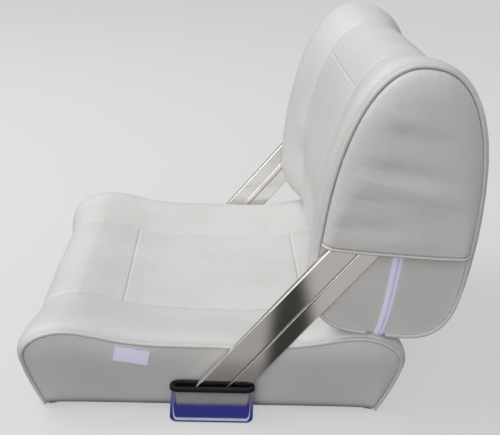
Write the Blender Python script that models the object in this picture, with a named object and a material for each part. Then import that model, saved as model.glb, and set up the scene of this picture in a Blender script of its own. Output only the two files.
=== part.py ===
"""Flip-back boat helm seat.

A dished vinyl seat cushion on a board, two steel pockets screwed under its sides, two grooved
flat arms that swing in the pockets, and a double-sided back cushion hung on a cross shaft
between the arms. +Z is up, the front of the seat is towards -Y, and the left side as one sits
is +X. The origin is the centre of the seat board's underside, where a pedestal bolts on.
"""
import math

import bmesh
import bpy
import numpy as np
from mathutils import Matrix, Vector

# Clearances
TOUCH_GAP = 0.0003
MERGE = 0.00001
CUT_OVERRUN = 0.004

# Arms and their swing
ARM_WIDTH = 0.050
ARM_THICKNESS = 0.0087
ARM_INNER_X = 0.2583
ARM_LEAN = math.radians(39.0)
ARM_EDGE_RADIUS = 0.0016
ARM_GROOVE_OFFSET = 0.0038
ARM_GROOVE_WIDTH = 0.0024
ARM_GROOVE_DEPTH = 0.0012
PIVOT_HEIGHT = 0.027

# Seat cushion, measured along its piping
SEAT_HALF_LENGTH = 0.235
SEAT_NOSE_HEIGHT = 0.069
SEAT_LOBE_REACH = 0.180
SEAT_LOBE_HEIGHT = 0.1065
SEAT_MID_HEIGHT = 0.0905
SEAT_FOOT_HALF_LENGTH = 0.2095
SEAT_FOOT_HALF_WIDTH = 0.240
SEAT_TOP_HALF_WIDTH = 0.255
SEAT_BAND_SEAM_X = 0.132
SEAT_INSERT_SEAM_Y = 0.121
SEAT_BAND_CROWN = 0.0085
SEAT_MIDDLE_CROWN = 0.0035
SEAT_BAND_DIP = 0.0044
SEAT_SCOOP = 0.0057
SEAT_CHEEK_PUFF = 0.001

# Cover, seams, piping and foam, the same on both cushions
COVER_THICKNESS = 0.0015
COVER_LIP = 0.026
SEAM_HALF_WIDTH = 0.003
SEAM_DEPTH = 0.0025
EDGE_CHAMFER = 0.004
PIPING_RADIUS = 0.0024
FOAM_SHRINK = 0.0022

# Seat board and its tee nuts
BOARD_THICKNESS = 0.012
BOARD_CORNER_RADIUS = 0.009
MOUNT_SPACING = 0.127
TEE_BARREL_RADIUS = 0.0039
TEE_BORE_RADIUS = 0.0028
TEE_FLANGE_RADIUS = 0.0095
TEE_FLANGE_THICKNESS = 0.0014
TEE_BARREL_LENGTH = 0.0085
VENT_RADIUS = 0.008
VENT_SPACING = 0.230

# Sewn tag
TAG_LENGTH = 0.043
TAG_HEIGHT = 0.020
TAG_THICKNESS = 0.001
TAG_Y = -0.098
TAG_DROP = 0.0036
TAG_GAP = 0.0005
TAG_SLOPE = math.radians(-6.5)

# Pocket brackets
POCKET_OUTER_X = 0.275
POCKET_INNER_X = 0.2479
POCKET_WALL = 0.0018
POCKET_RIM_HEIGHT = 0.0415
POCKET_BOTTOM = 0.0048
POCKET_CORNER_RADIUS = 0.0095
POCKET_BEND_RADIUS = 0.0042
POCKET_FLARE = 0.0012
FLANGE_THICKNESS = 0.0024
FLANGE_REACH_X = 0.150
FLANGE_HALF_LENGTH = 0.046
FLANGE_CORNER_RADIUS = 0.012
FLANGE_SCREW_INSET_X = 0.014
FLANGE_SCREW_SPACING_X = 0.042
FLANGE_SCREW_SPACING_Y = 0.064
SCREW_RADIUS = 0.0024
SCREW_HEAD_RADIUS = 0.0043
SCREW_LENGTH = 0.0125
TRIM_BEAD_WIDTH = 0.0056
TRIM_TOP = 0.0465
TRIM_SKIRT = 0.0035
STOP_GAP = 0.0004

# Lower pivots
PIVOT_SHANK_RADIUS = 0.005
PIVOT_HEAD_RADIUS = 0.0085
PIVOT_HEAD_HEIGHT = 0.0036
PIVOT_SOCKET_RADIUS = 0.003
PIVOT_SOCKET_DEPTH = 0.002
PIVOT_THREAD_RADIUS = 0.004
PIVOT_THREAD_LENGTH = 0.0032
BUSH_RADIUS = 0.0075
BUSH_FLANGE_RADIUS = 0.011
BUSH_FLANGE_THICKNESS = 0.0012
SPACER_RADIUS = 0.010
BOSS_RADIUS = 0.009

# Cross shaft and upper joint
SHAFT_RADIUS = 0.011
SHAFT_BORE_RADIUS = 0.0045
SHAFT_BORE_DEPTH = 0.032
SHAFT_BOLT_RADIUS = 0.004
SHAFT_BOLT_LENGTH = 0.026
SHAFT_BOLT_HEAD_RADIUS = 0.008
SHAFT_BOLT_HEAD_HEIGHT = 0.004
SHAFT_SPACER_RADIUS = 0.015

# Back cushion, measured along its piping from the cross shaft
BACK_TILT = math.radians(5.7)
BACK_HALF_DEPTH = 0.0905
BACK_TOP = 0.1495
BACK_BOTTOM = 0.1816
BACK_CLEARANCE = 0.0079
BACK_WAIST = 0.065
BACK_TOP_ROUNDNESS_SHARE = 2.34
BACK_BOTTOM_ROUNDNESS_SHARE = 3.75
BACK_HALF_WIDTH = 0.255
BACK_BAND_SEAM_X = 0.130
BACK_BAND_CROWN = 0.0105
BACK_MIDDLE_CROWN = 0.003
BACK_BAND_DIP = 0.009
BACK_CHEEK_PUFF = 0.0015
BACK_HOLE_RADIUS = 0.018

# Back boards and bearing blocks
BACK_BOARD_THICKNESS = 0.012
BACK_BOARD_INSET = 0.029
BACK_BOARD_TOP_INSET = 0.0375
BACK_BOARD_BOTTOM_INSET = 0.0315
BLOCK_WIDTH = 0.038
BLOCK_STAND = 0.003
BLOCK_HALF_DEPTH = 0.020
BLOCK_HALF_HEIGHT = 0.034
BLOCK_WEB_HALF_HEIGHT = 0.0165
BLOCK_BOLT_HEIGHT = 0.0255
BLOCK_BOLT_RADIUS = 0.0025
BLOCK_BOLT_HEAD_RADIUS = 0.0045
BLOCK_BOLT_HEAD_HEIGHT = 0.003
BLOCK_NUT_RADIUS = 0.0046
BLOCK_NUT_HEIGHT = 0.004
FOAM_CLEARANCE = 0.0015

# Side flaps over the arms' upper ends
FLAP_THICKNESS = 0.002
FLAP_OUTER_X = 0.2725
FLAP_LIFT = 0.0014
FLAP_RISE = 0.001
FLAP_EDGE_INSET = 0.0034
FLAP_ROUND = 0.009
FLAP_TOP_ROUND = 0.045
FLAP_SPINE_DROP = 0.062
HEM_HEIGHT = 0.071
HEM_RISE = 0.0055
HEM_SKEW = 0.0034
HEM_RADIUS = 0.0019

# Zip
ZIP_WIDTH = 0.0105
ZIP_THICKNESS = 0.0012
ZIP_START = 0.058
ZIP_SLIDER_WIDTH = 0.008
ZIP_SLIDER_LENGTH = 0.013
ZIP_SLIDER_HEIGHT = 0.0016
PIPING_NOTCH = 0.009

SIDES = (("left", 1), ("right", -1))
ENDS = (("front", -1), ("rear", 1))
LEVELS = (("upper", 1), ("lower", -1))

# The pair of stations along the zip that its slider stands between
ZIP_SLIDER_STATION = 4

# Counts of steps round curves
ROUND_STEPS = 14
SMALL_STEPS = 10
ARM_END_STEPS = 10
CORNER_STEPS = 4
NOSE_STEPS = 4
BACK_QUARTER_STEPS = 6

# Stations across a side band and a middle panel, as shares of their widths
BAND_STATION_SHARES = (0.94, 0.72, 0.38)
MIDDLE_STATION_SHARES = (0.5, 0.0)
DISH_STATION_SHARES = (0.0, 0.36)

# Brings the top of a side band's swell to its full crown
SWELL_SHARE = 1.612

# Worked out from the sizes above
ARM_OUTER_X = ARM_INNER_X + ARM_THICKNESS
BACK_REST_Z = SEAT_LOBE_HEIGHT + BACK_CLEARANCE
ARM_RISE = BACK_REST_Z + BACK_BOTTOM * math.cos(BACK_TILT) - PIVOT_HEIGHT
ARM_LENGTH = ARM_RISE / math.cos(ARM_LEAN)
SHAFT_Y = ARM_LENGTH * math.sin(ARM_LEAN)
SHAFT_Z = PIVOT_HEIGHT + ARM_RISE
STOP_RISE = TRIM_TOP - TRIM_BEAD_WIDTH / 2 - PIVOT_HEIGHT
STOP_SIDE = ARM_WIDTH / 2 + TRIM_BEAD_WIDTH / 2 + STOP_GAP
STOP_REACH = (STOP_SIDE + STOP_RISE * math.sin(ARM_LEAN)) / math.cos(ARM_LEAN)
POCKET_HALF_LENGTH = STOP_REACH + POCKET_WALL / 2
POCKET_MID_X = (POCKET_OUTER_X + POCKET_INNER_X) / 2
POCKET_HALF_WIDTH = (POCKET_OUTER_X - POCKET_INNER_X) / 2
COVER_DROP = COVER_THICKNESS + TOUCH_GAP
COVER_BASE = -COVER_DROP
FLANGE_TOP = COVER_BASE - TOUCH_GAP
FOAM_INSET = COVER_THICKNESS + FOAM_SHRINK
BACK_BOARD_HALF_WIDTH = BACK_HALF_WIDTH - BACK_BOARD_INSET
BACK_BOARD_TOP = BACK_TOP - BACK_BOARD_TOP_INSET
BACK_BOARD_BOTTOM = BACK_BOTTOM - BACK_BOARD_BOTTOM_INSET
BLOCK_OUTER_X = BACK_BOARD_HALF_WIDTH + BLOCK_STAND
PIPING_SEAT = (PIPING_RADIUS + TOUCH_GAP) * math.sqrt(0.5) - EDGE_CHAMFER / 2


def clear_scene():
    """Remove whatever objects the opened file holds."""
    for item in list(bpy.data.objects):
        bpy.data.objects.remove(item, do_unlink=True)


def finish(name, colour, roughness, metallic=0.0):
    """A Principled material with a plain colour."""
    material = bpy.data.materials.new(name)
    material.use_nodes = True
    shader = material.node_tree.nodes["Principled BSDF"]
    shader.inputs["Base Color"].default_value = (*colour, 1.0)
    shader.inputs["Roughness"].default_value = roughness
    shader.inputs["Metallic"].default_value = metallic
    return material


def anchor(name, location, tilt=0.0):
    """An empty that carries a body, turned about X."""
    empty = bpy.data.objects.new(name, None)
    empty.location = location
    empty.rotation_euler = (tilt, 0, 0)
    bpy.context.collection.objects.link(empty)
    return empty


def add_object(name, bm, material, parent=None, smooth_angle=None):
    """Turn a bmesh into a named object under its parent."""
    mesh = bpy.data.meshes.new(name)
    bm.to_mesh(mesh)
    bm.free()
    if smooth_angle:
        mesh.shade_smooth()
        mesh.set_sharp_from_angle(angle=math.radians(smooth_angle))
    if material:
        mesh.materials.append(material)
    item = bpy.data.objects.new(name, mesh)
    bpy.context.collection.objects.link(item)
    item.parent = parent
    return item


def faces_out(bm):
    """Point every face of a closed bmesh outwards."""
    bmesh.ops.recalc_face_normals(bm, faces=bm.faces)
    return bm


def grid_mesh(rows, wrap=False):
    """Join rows of points, all of one length, into quads."""
    bm = bmesh.new()
    made = [[bm.verts.new(point) for point in row] for row in rows]
    count = len(rows[0])
    for low, high in zip(made, made[1:]):
        for k in range(count if wrap else count - 1):
            follow = (k + 1) % count
            bm.faces.new((low[k], low[follow], high[follow], high[k]))
    return bm, made


def loft(rings):
    """A closed solid through rings of points, its first and last ring filled."""
    bm, made = grid_mesh(rings, wrap=True)
    bm.faces.new(made[0])
    bm.faces.new(made[-1])
    return faces_out(bm)


def circle(radius, along, steps=ROUND_STEPS):
    """A ring of points about X."""
    angles = [math.tau * (k + 0.5) / steps for k in range(steps)]
    return [(along, radius * math.cos(a), radius * math.sin(a)) for a in angles]


def turned(profile, steps=ROUND_STEPS):
    """A solid turned about X through (radius, x) points, flat at both ends."""
    return loft([circle(radius, along, steps) for radius, along in profile if radius])


def ring_tube(outer, inner, start, end, steps=ROUND_STEPS):
    """A plain tube about X between two x positions."""
    section = ((outer, start), (outer, end), (inner, end), (inner, start))
    rings = [circle(radius, along, steps) for radius, along in section]
    bm, made = grid_mesh(rings + rings[:1], wrap=True)
    bmesh.ops.remove_doubles(bm, verts=bm.verts, dist=MERGE)
    return faces_out(bm)


def box(low, high):
    """An axis-aligned block between two corners."""
    bm = bmesh.new()
    bmesh.ops.create_cube(bm, size=1)
    size = Vector(high) - Vector(low)
    middle = (Vector(high) + Vector(low)) / 2
    bmesh.ops.transform(bm, matrix=Matrix.Translation(middle) @ Matrix.Diagonal((*size, 1)),
                        verts=bm.verts)
    return bm


def add_to(bm, other, matrix=None):
    """Add another bmesh's solids to this one."""
    if matrix:
        bmesh.ops.transform(other, matrix=matrix, verts=other.verts)
        if matrix.determinant() < 0:
            bmesh.ops.reverse_faces(other, faces=other.faces)
    holder = bpy.data.meshes.new("holder")
    other.to_mesh(holder)
    other.free()
    bm.from_mesh(holder)
    bpy.data.meshes.remove(holder)


def rounded_rectangle(half_u, half_v, radius, steps=CORNER_STEPS):
    """Points of a rectangle with round corners, anticlockwise."""
    points = []
    for quarter, (su, sv) in enumerate(((1, 1), (-1, 1), (-1, -1), (1, -1))):
        for k in range(steps + 1):
            angle = math.pi / 2 * (quarter + k / steps)
            points.append((su * (half_u - radius) + radius * math.cos(angle),
                           sv * (half_v - radius) + radius * math.sin(angle)))
    return points


def cutter(name, bm, parent=None):
    """A hidden solid that cuts or joins another."""
    tool = add_object(name, bm, None, parent)
    tool.hide_render = True
    tool.display_type = "WIRE"
    return tool


def combine(item, tool, operation="DIFFERENCE"):
    """Cut or join an object with a hidden solid."""
    step = item.modifiers.new(tool.name, "BOOLEAN")
    step.operation = operation
    step.solver = "EXACT"
    step.object = tool


def thicken(item, thickness):
    """Give a sheet a thickness on its inner side."""
    step = item.modifiers.new("thickness", "SOLIDIFY")
    step.thickness = thickness
    step.offset = -1
    step.use_even_offset = True
    step.use_rim = True


def tube_along(name, points, radius, material, parent=None):
    """A round cord through the points, with closed ends."""
    curve = bpy.data.curves.new(name, "CURVE")
    curve.dimensions = "3D"
    curve.bevel_depth = radius
    curve.bevel_resolution = 1
    curve.use_fill_caps = True
    spline = curve.splines.new("POLY")
    spline.points.add(len(points) - 1)
    for knot, point in zip(spline.points, points):
        knot.co = (*point, 1)
    curve.materials.append(material)
    item = bpy.data.objects.new(name, curve)
    bpy.context.collection.objects.link(item)
    item.parent = parent
    return item


def outline_normals(outline, closed):
    """Outward unit normals of a line of (across, up) points that runs front, top, rear."""
    line = np.array(outline)
    if closed:
        before, after = np.roll(line, 1, axis=0), np.roll(line, -1, axis=0)
    else:
        before = np.vstack([line[:1], line[:-1]])
        after = np.vstack([line[1:], line[-1:]])
    along = after - before
    normals = np.stack([-along[:, 1], along[:, 0]], axis=1)
    return normals / np.linalg.norm(normals, axis=1)[:, None]


def seam_triple(place):
    """A seam's groove and its two shoulders."""
    return ((place - SEAM_HALF_WIDTH, False), (place, True), (place + SEAM_HALF_WIDTH, False))


def hump(share):
    """A side band's swell: it rises gently from its seam and drops steeply to the piping."""
    return SWELL_SHARE * share * math.sqrt(1 - share ** 4)


def seat_dish(reach):
    """Height of the dished top at a distance from the middle."""
    share = (reach / SEAT_LOBE_REACH) ** 2.2
    swing = (1 - math.cos(math.pi * share)) / 2
    return SEAT_MID_HEIGHT + (SEAT_LOBE_HEIGHT - SEAT_MID_HEIGHT) * swing


def seat_half_outline():
    """Points of the piping's side view from the middle to the foot, and which are seams."""
    places = [(SEAT_LOBE_REACH * share, False) for share in DISH_STATION_SHARES]
    places += seam_triple(SEAT_INSERT_SEAM_Y)
    places.append(((SEAT_INSERT_SEAM_Y + SEAT_LOBE_REACH) / 2, False))
    points = [((reach, seat_dish(reach)), groove) for reach, groove in places]
    for k in range(NOSE_STEPS + 1):
        angle = math.pi / 2 * (1 - k / NOSE_STEPS)
        reach = SEAT_LOBE_REACH + (SEAT_HALF_LENGTH - SEAT_LOBE_REACH) * math.cos(angle)
        height = SEAT_NOSE_HEIGHT + (SEAT_LOBE_HEIGHT - SEAT_NOSE_HEIGHT) * math.sin(angle)
        points.append(((reach, height), False))
    for share in (0.5, 1.0):
        drop = SEAT_NOSE_HEIGHT - COVER_BASE
        reach = SEAT_HALF_LENGTH - (SEAT_HALF_LENGTH - SEAT_FOOT_HALF_LENGTH) * share ** 1.6
        points.append(((reach, SEAT_NOSE_HEIGHT - drop * share), False))
    return points


def seat_outline():
    """The piping's side view from the front foot over the top to the rear foot."""
    half = seat_half_outline()
    front = [((-point[0], point[1]), groove) for point, groove in half[:0:-1]]
    whole = front + half
    return [point for point, groove in whole], [groove for point, groove in whole]


def seat_cheek_x(height):
    """Half width of the seat at a height: drawn in to the board at its foot."""
    share = min(1.0, max(0.0, height) / SEAT_MID_HEIGHT)
    return SEAT_FOOT_HALF_WIDTH + (SEAT_TOP_HALF_WIDTH - SEAT_FOOT_HALF_WIDTH) * share ** 2


def seat_row(outline, normals, grooves, share, band, seam, inset):
    """One station of the seat's wrap: its points from the front foot to the rear foot."""
    points = []
    for (reach, height), normal, groove in zip(outline, normals, grooves):
        is_foot = height <= COVER_BASE + MERGE
        edge = seat_cheek_x(height) - EDGE_CHAMFER
        top = max(0.0, normal[1]) * max(0.0, 1 - abs(reach) / SEAT_LOBE_REACH) ** 0.5
        if band:
            across = SEAT_BAND_SEAM_X + (edge - SEAT_BAND_SEAM_X) * share
            swell = SEAT_BAND_CROWN * hump(share) - SEAT_BAND_DIP * (1 - share)
            scoop = SEAT_SCOOP * (1 - share)
        else:
            across = SEAT_BAND_SEAM_X * share
            swell = SEAT_MIDDLE_CROWN * math.sqrt(1 - share ** 2) - SEAT_BAND_DIP
            scoop = SEAT_SCOOP
        if seam or (groove and not band):
            swell -= SEAM_DEPTH
        foot_share = 0.0 if is_foot else min(1.0, (height - COVER_BASE) / SEAT_NOSE_HEIGHT)
        swell = swell * math.sqrt(foot_share) - inset
        side = math.copysign(1.0, reach) if is_foot else normal[0]
        rise = 0.0 if is_foot else normal[1]
        points.append((across, reach + swell * side, height + swell * rise - scoop * top))
    return points


def seat_rows(inset, fine):
    """Stations of the seat's skin from the left cheek's foot to the right cheek's foot."""
    outline, grooves = seat_outline()
    normals = outline_normals(outline, closed=False)
    seam_share = SEAM_HALF_WIDTH / (SEAT_TOP_HALF_WIDTH - SEAT_BAND_SEAM_X)
    bands = [1.0, *BAND_STATION_SHARES] if fine else [1.0, 0.5]
    stations = [(share, True, False) for share in bands]
    if fine:
        stations.append((seam_share, True, False))
    stations.append((1.0, False, True))
    if fine:
        stations.append((1 - SEAM_HALF_WIDTH / SEAT_BAND_SEAM_X, False, False))
    stations += [(share, False, False) for share in MIDDLE_STATION_SHARES]
    half = [seat_row(outline, normals, grooves, *station, inset) for station in stations]
    half = seat_cheek_rows(outline, normals, inset) + half
    other = [[(-x, y, z) for x, y, z in row] for row in half[-2::-1]]
    return half + other


def seat_cheek_rows(outline, normals, inset):
    """Rows of a side cheek, from its straight foot up to the chamfer under the piping."""
    line = np.array(outline)
    steps = np.linalg.norm(np.diff(line, axis=0), axis=1)
    travel = np.concatenate([[0], np.cumsum(steps)])
    along = 2 * travel / travel[-1] - 1
    foot = SEAT_FOOT_HALF_LENGTH - EDGE_CHAMFER - inset
    rows = []
    for share in (0.0, 0.5, 1.0):
        row = []
        for (reach, height), normal, place in zip(outline, normals, along):
            is_foot = height <= COVER_BASE + MERGE
            side = math.copysign(1.0, reach) if is_foot else normal[0]
            rise = 0.0 if is_foot else normal[1]
            edge_y = reach - (EDGE_CHAMFER + inset) * side
            edge_z = height - (EDGE_CHAMFER + inset) * rise
            y = place * foot + (edge_y - place * foot) * share
            z = COVER_BASE + (edge_z - COVER_BASE) * share
            puff = SEAT_CHEEK_PUFF * 4 * share * (1 - share)
            row.append((seat_cheek_x(z) + puff - inset, y, z))
        rows.append(row)
    return rows


def lip_under(bm, half_x, half_y):
    """Turn a sheet's open lower edge in under the board."""
    rim = [edge for edge in bm.edges if edge.is_boundary]
    made = bmesh.ops.extrude_edge_only(bm, edges=rim)["geom"]
    for item in made:
        if isinstance(item, bmesh.types.BMVert):
            item.co.x *= (half_x - COVER_LIP) / half_x
            item.co.y *= (half_y - COVER_LIP) / half_y


def upright(bm, centre):
    """Turn a sheet's faces so that they look away from a point inside it."""
    bmesh.ops.recalc_face_normals(bm, faces=bm.faces)
    bm.faces.ensure_lookup_table()
    away = sum((f.calc_center_median() - centre).dot(f.normal) * f.calc_area() for f in bm.faces)
    if away < 0:
        bmesh.ops.reverse_faces(bm, faces=bm.faces)


def make_seat_cover(material):
    """The sewn vinyl skin of the seat, open underneath with its edge turned in."""
    bm, made = grid_mesh(seat_rows(0.0, fine=True))
    bmesh.ops.remove_doubles(bm, verts=bm.verts, dist=MERGE)
    lip_under(bm, SEAT_FOOT_HALF_WIDTH, SEAT_FOOT_HALF_LENGTH)
    upright(bm, Vector((0, 0, SEAT_NOSE_HEIGHT / 2)))
    cover = add_object("seat_cover", bm, material, smooth_angle=50)
    thicken(cover, COVER_THICKNESS)
    return cover


def make_seat_foam(material):
    """The shaped foam block that stands on the board inside the cover."""
    rows = seat_rows(FOAM_INSET, fine=False)
    base = BOARD_THICKNESS + TOUCH_GAP
    bm, made = grid_mesh(rows)
    bmesh.ops.remove_doubles(bm, verts=bm.verts, dist=MERGE)
    cut = bmesh.ops.bisect_plane(bm, geom=list(bm.verts) + list(bm.edges) + list(bm.faces),
                                 plane_co=(0, 0, base), plane_no=(0, 0, -1), clear_outer=True)
    rim = [edge for edge in bm.edges if edge.is_boundary]
    bmesh.ops.holes_fill(bm, edges=rim, sides=0)
    bmesh.ops.remove_doubles(bm, verts=bm.verts, dist=MERGE)
    return add_object("seat_foam", faces_out(bm), material, smooth_angle=50)


def seat_piping_path(sign):
    """The cord's centre line along a side of the seat."""
    outline, grooves = seat_outline()
    normals = outline_normals(outline, closed=False)
    path = []
    for (reach, height), normal in zip(outline, normals):
        is_foot = height <= COVER_BASE + MERGE
        side = math.copysign(1.0, reach) if is_foot else normal[0]
        rise = 0.0 if is_foot else normal[1]
        path.append((sign * (seat_cheek_x(height) + PIPING_SEAT), reach + PIPING_SEAT * side,
                     height + PIPING_SEAT * rise))
    return path


def cheek_skin_x(height, edge_height):
    """Where the cheek's upper panel lies at a height, under an edge at its own height."""
    middle = (edge_height + COVER_BASE) / 2
    low = seat_cheek_x(middle) + SEAT_CHEEK_PUFF
    high = seat_cheek_x(edge_height)
    return low + (high - low) * (height - middle) / (edge_height - middle)


def make_tag(material):
    """A blank folded tag sewn in under the left side's piping."""
    edge = seat_dish(abs(TAG_Y)) - EDGE_CHAMFER
    top = edge - TAG_DROP
    high_x = cheek_skin_x(top, edge)
    low_x = cheek_skin_x(top - TAG_HEIGHT, edge)
    lean = math.atan2(high_x - low_x, TAG_HEIGHT)
    bm = box((0, -TAG_LENGTH / 2, -TAG_HEIGHT), (TAG_THICKNESS, TAG_LENGTH / 2, 0))
    turn = Matrix.Rotation(lean, 4, "Y") @ Matrix.Rotation(TAG_SLOPE, 4, "X")
    place = Matrix.Translation((high_x + TAG_GAP, TAG_Y, top))
    bmesh.ops.transform(bm, matrix=place @ turn, verts=bm.verts)
    return add_object("sewn_tag", bm, material)


def corner_places(spacing):
    """The named corners of a centred square."""
    return [(f"{end}_{label}", sign * spacing / 2, way * spacing / 2)
            for label, sign in SIDES for end, way in ENDS]


def upright_turn(x, y, z):
    """Stands a solid turned about X upright, its +X end upwards, at a place."""
    return Matrix.Translation((x, y, z)) @ Matrix.Rotation(-math.pi / 2, 4, "Y")


def round_cutters(name, places, profile):
    """Upright turned cutters at several places, as one hidden solid."""
    bm = bmesh.new()
    for label, x, y in places:
        add_to(bm, turned(profile, SMALL_STEPS), upright_turn(x, y, 0))
    return cutter(name, bm)


def flange_screw_places(name, sign):
    """Where the screws of a pocket's flange stand, and their names."""
    start = FLANGE_REACH_X + FLANGE_SCREW_INSET_X
    columns = (("inner", start), ("outer", start + FLANGE_SCREW_SPACING_X))
    return [(f"{name}_{end}_{label}", sign * x, way * FLANGE_SCREW_SPACING_Y / 2)
            for label, x in columns for end, way in ENDS]


def make_board(material):
    """The plywood base with tee-nut holes, vents and pilot holes."""
    half_x = SEAT_FOOT_HALF_WIDTH - COVER_DROP
    half_y = SEAT_FOOT_HALF_LENGTH - COVER_DROP
    shape = rounded_rectangle(half_x, half_y, BOARD_CORNER_RADIUS)
    board = add_object("seat_board", loft([[(x, y, 0) for x, y in shape],
                                           [(x, y, BOARD_THICKNESS) for x, y in shape]]),
                       material)
    under, over = -CUT_OVERRUN, BOARD_THICKNESS + CUT_OVERRUN
    shoulder = BOARD_THICKNESS - TEE_FLANGE_THICKNESS - 2 * TOUCH_GAP
    barrel = TEE_BARREL_RADIUS + TOUCH_GAP
    flange = TEE_FLANGE_RADIUS + TOUCH_GAP
    tee = [(0, under), (barrel, under), (barrel, shoulder), (flange, shoulder),
           (flange, over), (0, over)]
    vent = [(0, under), (VENT_RADIUS, under), (VENT_RADIUS, over), (0, over)]
    pilot_radius = SCREW_RADIUS + TOUCH_GAP
    depth = FLANGE_TOP - FLANGE_THICKNESS + SCREW_LENGTH + TOUCH_GAP
    pilot = [(0, under), (pilot_radius, under), (pilot_radius, depth), (0, depth)]
    pilots = [place for side in SIDES for place in flange_screw_places(*side)]
    for name, places, profile in (
            ("tee_holes", corner_places(MOUNT_SPACING), tee),
            ("vents", corner_places(VENT_SPACING), vent),
            ("pilot_holes", pilots, pilot)):
        combine(board, round_cutters(name, places, profile))
    return board


def make_tee_nuts(material):
    """Four tee nuts let into the board, for the pedestal's bolts."""
    top = BOARD_THICKNESS - TOUCH_GAP
    under = top - TEE_FLANGE_THICKNESS
    base = top - TEE_BARREL_LENGTH
    for label, x, y in corner_places(MOUNT_SPACING):
        rings = []
        for radius, height in ((TEE_BORE_RADIUS, base), (TEE_BARREL_RADIUS, base),
                               (TEE_BARREL_RADIUS, under), (TEE_FLANGE_RADIUS, under),
                               (TEE_FLANGE_RADIUS, top), (TEE_BORE_RADIUS, top)):
            rings.append([(-z_place, y_place, height)
                          for along, y_place, z_place in circle(radius, 0, SMALL_STEPS)])
        bm, made = grid_mesh(rings + rings[:1], wrap=True)
        bmesh.ops.remove_doubles(bm, verts=bm.verts, dist=MERGE)
        nut = add_object("tee_nut_" + label, faces_out(bm), material, smooth_angle=40)
        nut.location = (x, y, 0)


def pocket_ring(inset, flare, z):
    """One level of the pocket's walls."""
    shape = rounded_rectangle(POCKET_HALF_WIDTH - inset, POCKET_HALF_LENGTH - inset + flare,
                              max(POCKET_CORNER_RADIUS - inset, POCKET_WALL))
    return [(x, y, z) for x, y in shape]


def pocket_cup():
    """The pressed cup that holds an arm's foot, open at the top, about its own middle."""
    bend = POCKET_BEND_RADIUS
    inner_bend = bend - POCKET_WALL
    rings = []
    for k in range(3):
        angle = math.pi / 2 * k / 3
        rings.append(pocket_ring(bend * (1 - math.sin(angle)), POCKET_FLARE,
                                 -POCKET_BOTTOM + bend * (1 - math.cos(angle))))
    rings.append(pocket_ring(0, POCKET_FLARE, -POCKET_BOTTOM + bend))
    rings.append(pocket_ring(0, 0, POCKET_RIM_HEIGHT))
    rings.append(pocket_ring(POCKET_WALL, 0, POCKET_RIM_HEIGHT))
    rings.append(pocket_ring(POCKET_WALL, POCKET_FLARE, -POCKET_BOTTOM + bend))
    for k in (2, 1):
        angle = math.pi / 2 * k / 3
        rings.append(pocket_ring(POCKET_WALL + inner_bend * (1 - math.sin(angle)), POCKET_FLARE,
                                 -POCKET_BOTTOM + POCKET_WALL
                                 + inner_bend * (1 - math.cos(angle))))
    return loft(rings)


def make_pocket(name, sign, material):
    """A polished steel pocket with the flange that screws under the board."""
    place = Matrix.Translation((sign * POCKET_MID_X, 0, 0))
    mirror = place @ Matrix.Diagonal((sign, 1, 1, 1))
    bm = bmesh.new()
    add_to(bm, pocket_cup(), mirror)
    bracket = add_object("pocket_bracket_" + name, bm, material, smooth_angle=35)
    inner_face = POCKET_INNER_X + POCKET_WALL
    flange_end = inner_face + POCKET_WALL
    middle = (FLANGE_REACH_X + flange_end) / 2
    shape = rounded_rectangle((flange_end - FLANGE_REACH_X) / 2, FLANGE_HALF_LENGTH,
                              FLANGE_CORNER_RADIUS)
    low = FLANGE_TOP - FLANGE_THICKNESS
    plate = loft([[(sign * middle + x, y, z) for x, y in shape] for z in (low, FLANGE_TOP)])
    combine(bracket, cutter("flange_" + name, plate), "UNION")
    boss_face = ARM_OUTER_X + BUSH_FLANGE_THICKNESS + 2 * TOUCH_GAP
    boss = turned([(0, boss_face), (BOSS_RADIUS, boss_face),
                   (BOSS_RADIUS, POCKET_OUTER_X - POCKET_WALL / 2),
                   (0, POCKET_OUTER_X - POCKET_WALL / 2)])
    turn = Matrix.Translation((0, 0, PIVOT_HEIGHT)) @ Matrix.Diagonal((sign, 1, 1, 1))
    holder = bmesh.new()
    add_to(holder, boss, turn)
    combine(bracket, cutter("boss_" + name, holder), "UNION")
    shank = PIVOT_SHANK_RADIUS + TOUCH_GAP
    thread = PIVOT_THREAD_RADIUS + TOUCH_GAP
    start = POCKET_INNER_X - CUT_OVERRUN
    step = inner_face + POCKET_WALL
    end = boss_face + PIVOT_THREAD_LENGTH + TOUCH_GAP
    hole = turned([(0, start), (shank, start), (shank, step), (thread, step), (thread, end),
                   (0, end)])
    holder = bmesh.new()
    add_to(holder, hole, turn)
    combine(bracket, cutter("pivot_hole_" + name, holder))
    head = SCREW_HEAD_RADIUS + TOUCH_GAP
    narrow = SCREW_RADIUS + TOUCH_GAP
    cone = low + TOUCH_GAP
    sink = [(head, low - CUT_OVERRUN), (head, cone), (narrow, cone + head - narrow),
            (narrow, FLANGE_TOP + CUT_OVERRUN)]
    places = flange_screw_places(name, sign)
    combine(bracket, round_cutters("screw_holes_" + name, places, sink))
    return bracket


def make_bracket_screws(material):
    """Countersunk screws that hold both flanges to the board."""
    low = FLANGE_TOP - FLANGE_THICKNESS + TOUCH_GAP
    cone = low + SCREW_HEAD_RADIUS - SCREW_RADIUS
    tip = FLANGE_TOP - FLANGE_THICKNESS + SCREW_LENGTH - TOUCH_GAP
    profile = [(0, low), (SCREW_HEAD_RADIUS, low), (SCREW_RADIUS, cone),
               (SCREW_RADIUS, tip - SCREW_RADIUS), (SCREW_RADIUS / 4, tip)]
    for side in SIDES:
        for label, x, y in flange_screw_places(*side):
            bm = bmesh.new()
            add_to(bm, turned(profile, SMALL_STEPS), upright_turn(0, 0, 0))
            screw = add_object("bracket_screw_" + label, bm, material, smooth_angle=40)
            screw.location = (x, y, 0)


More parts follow.
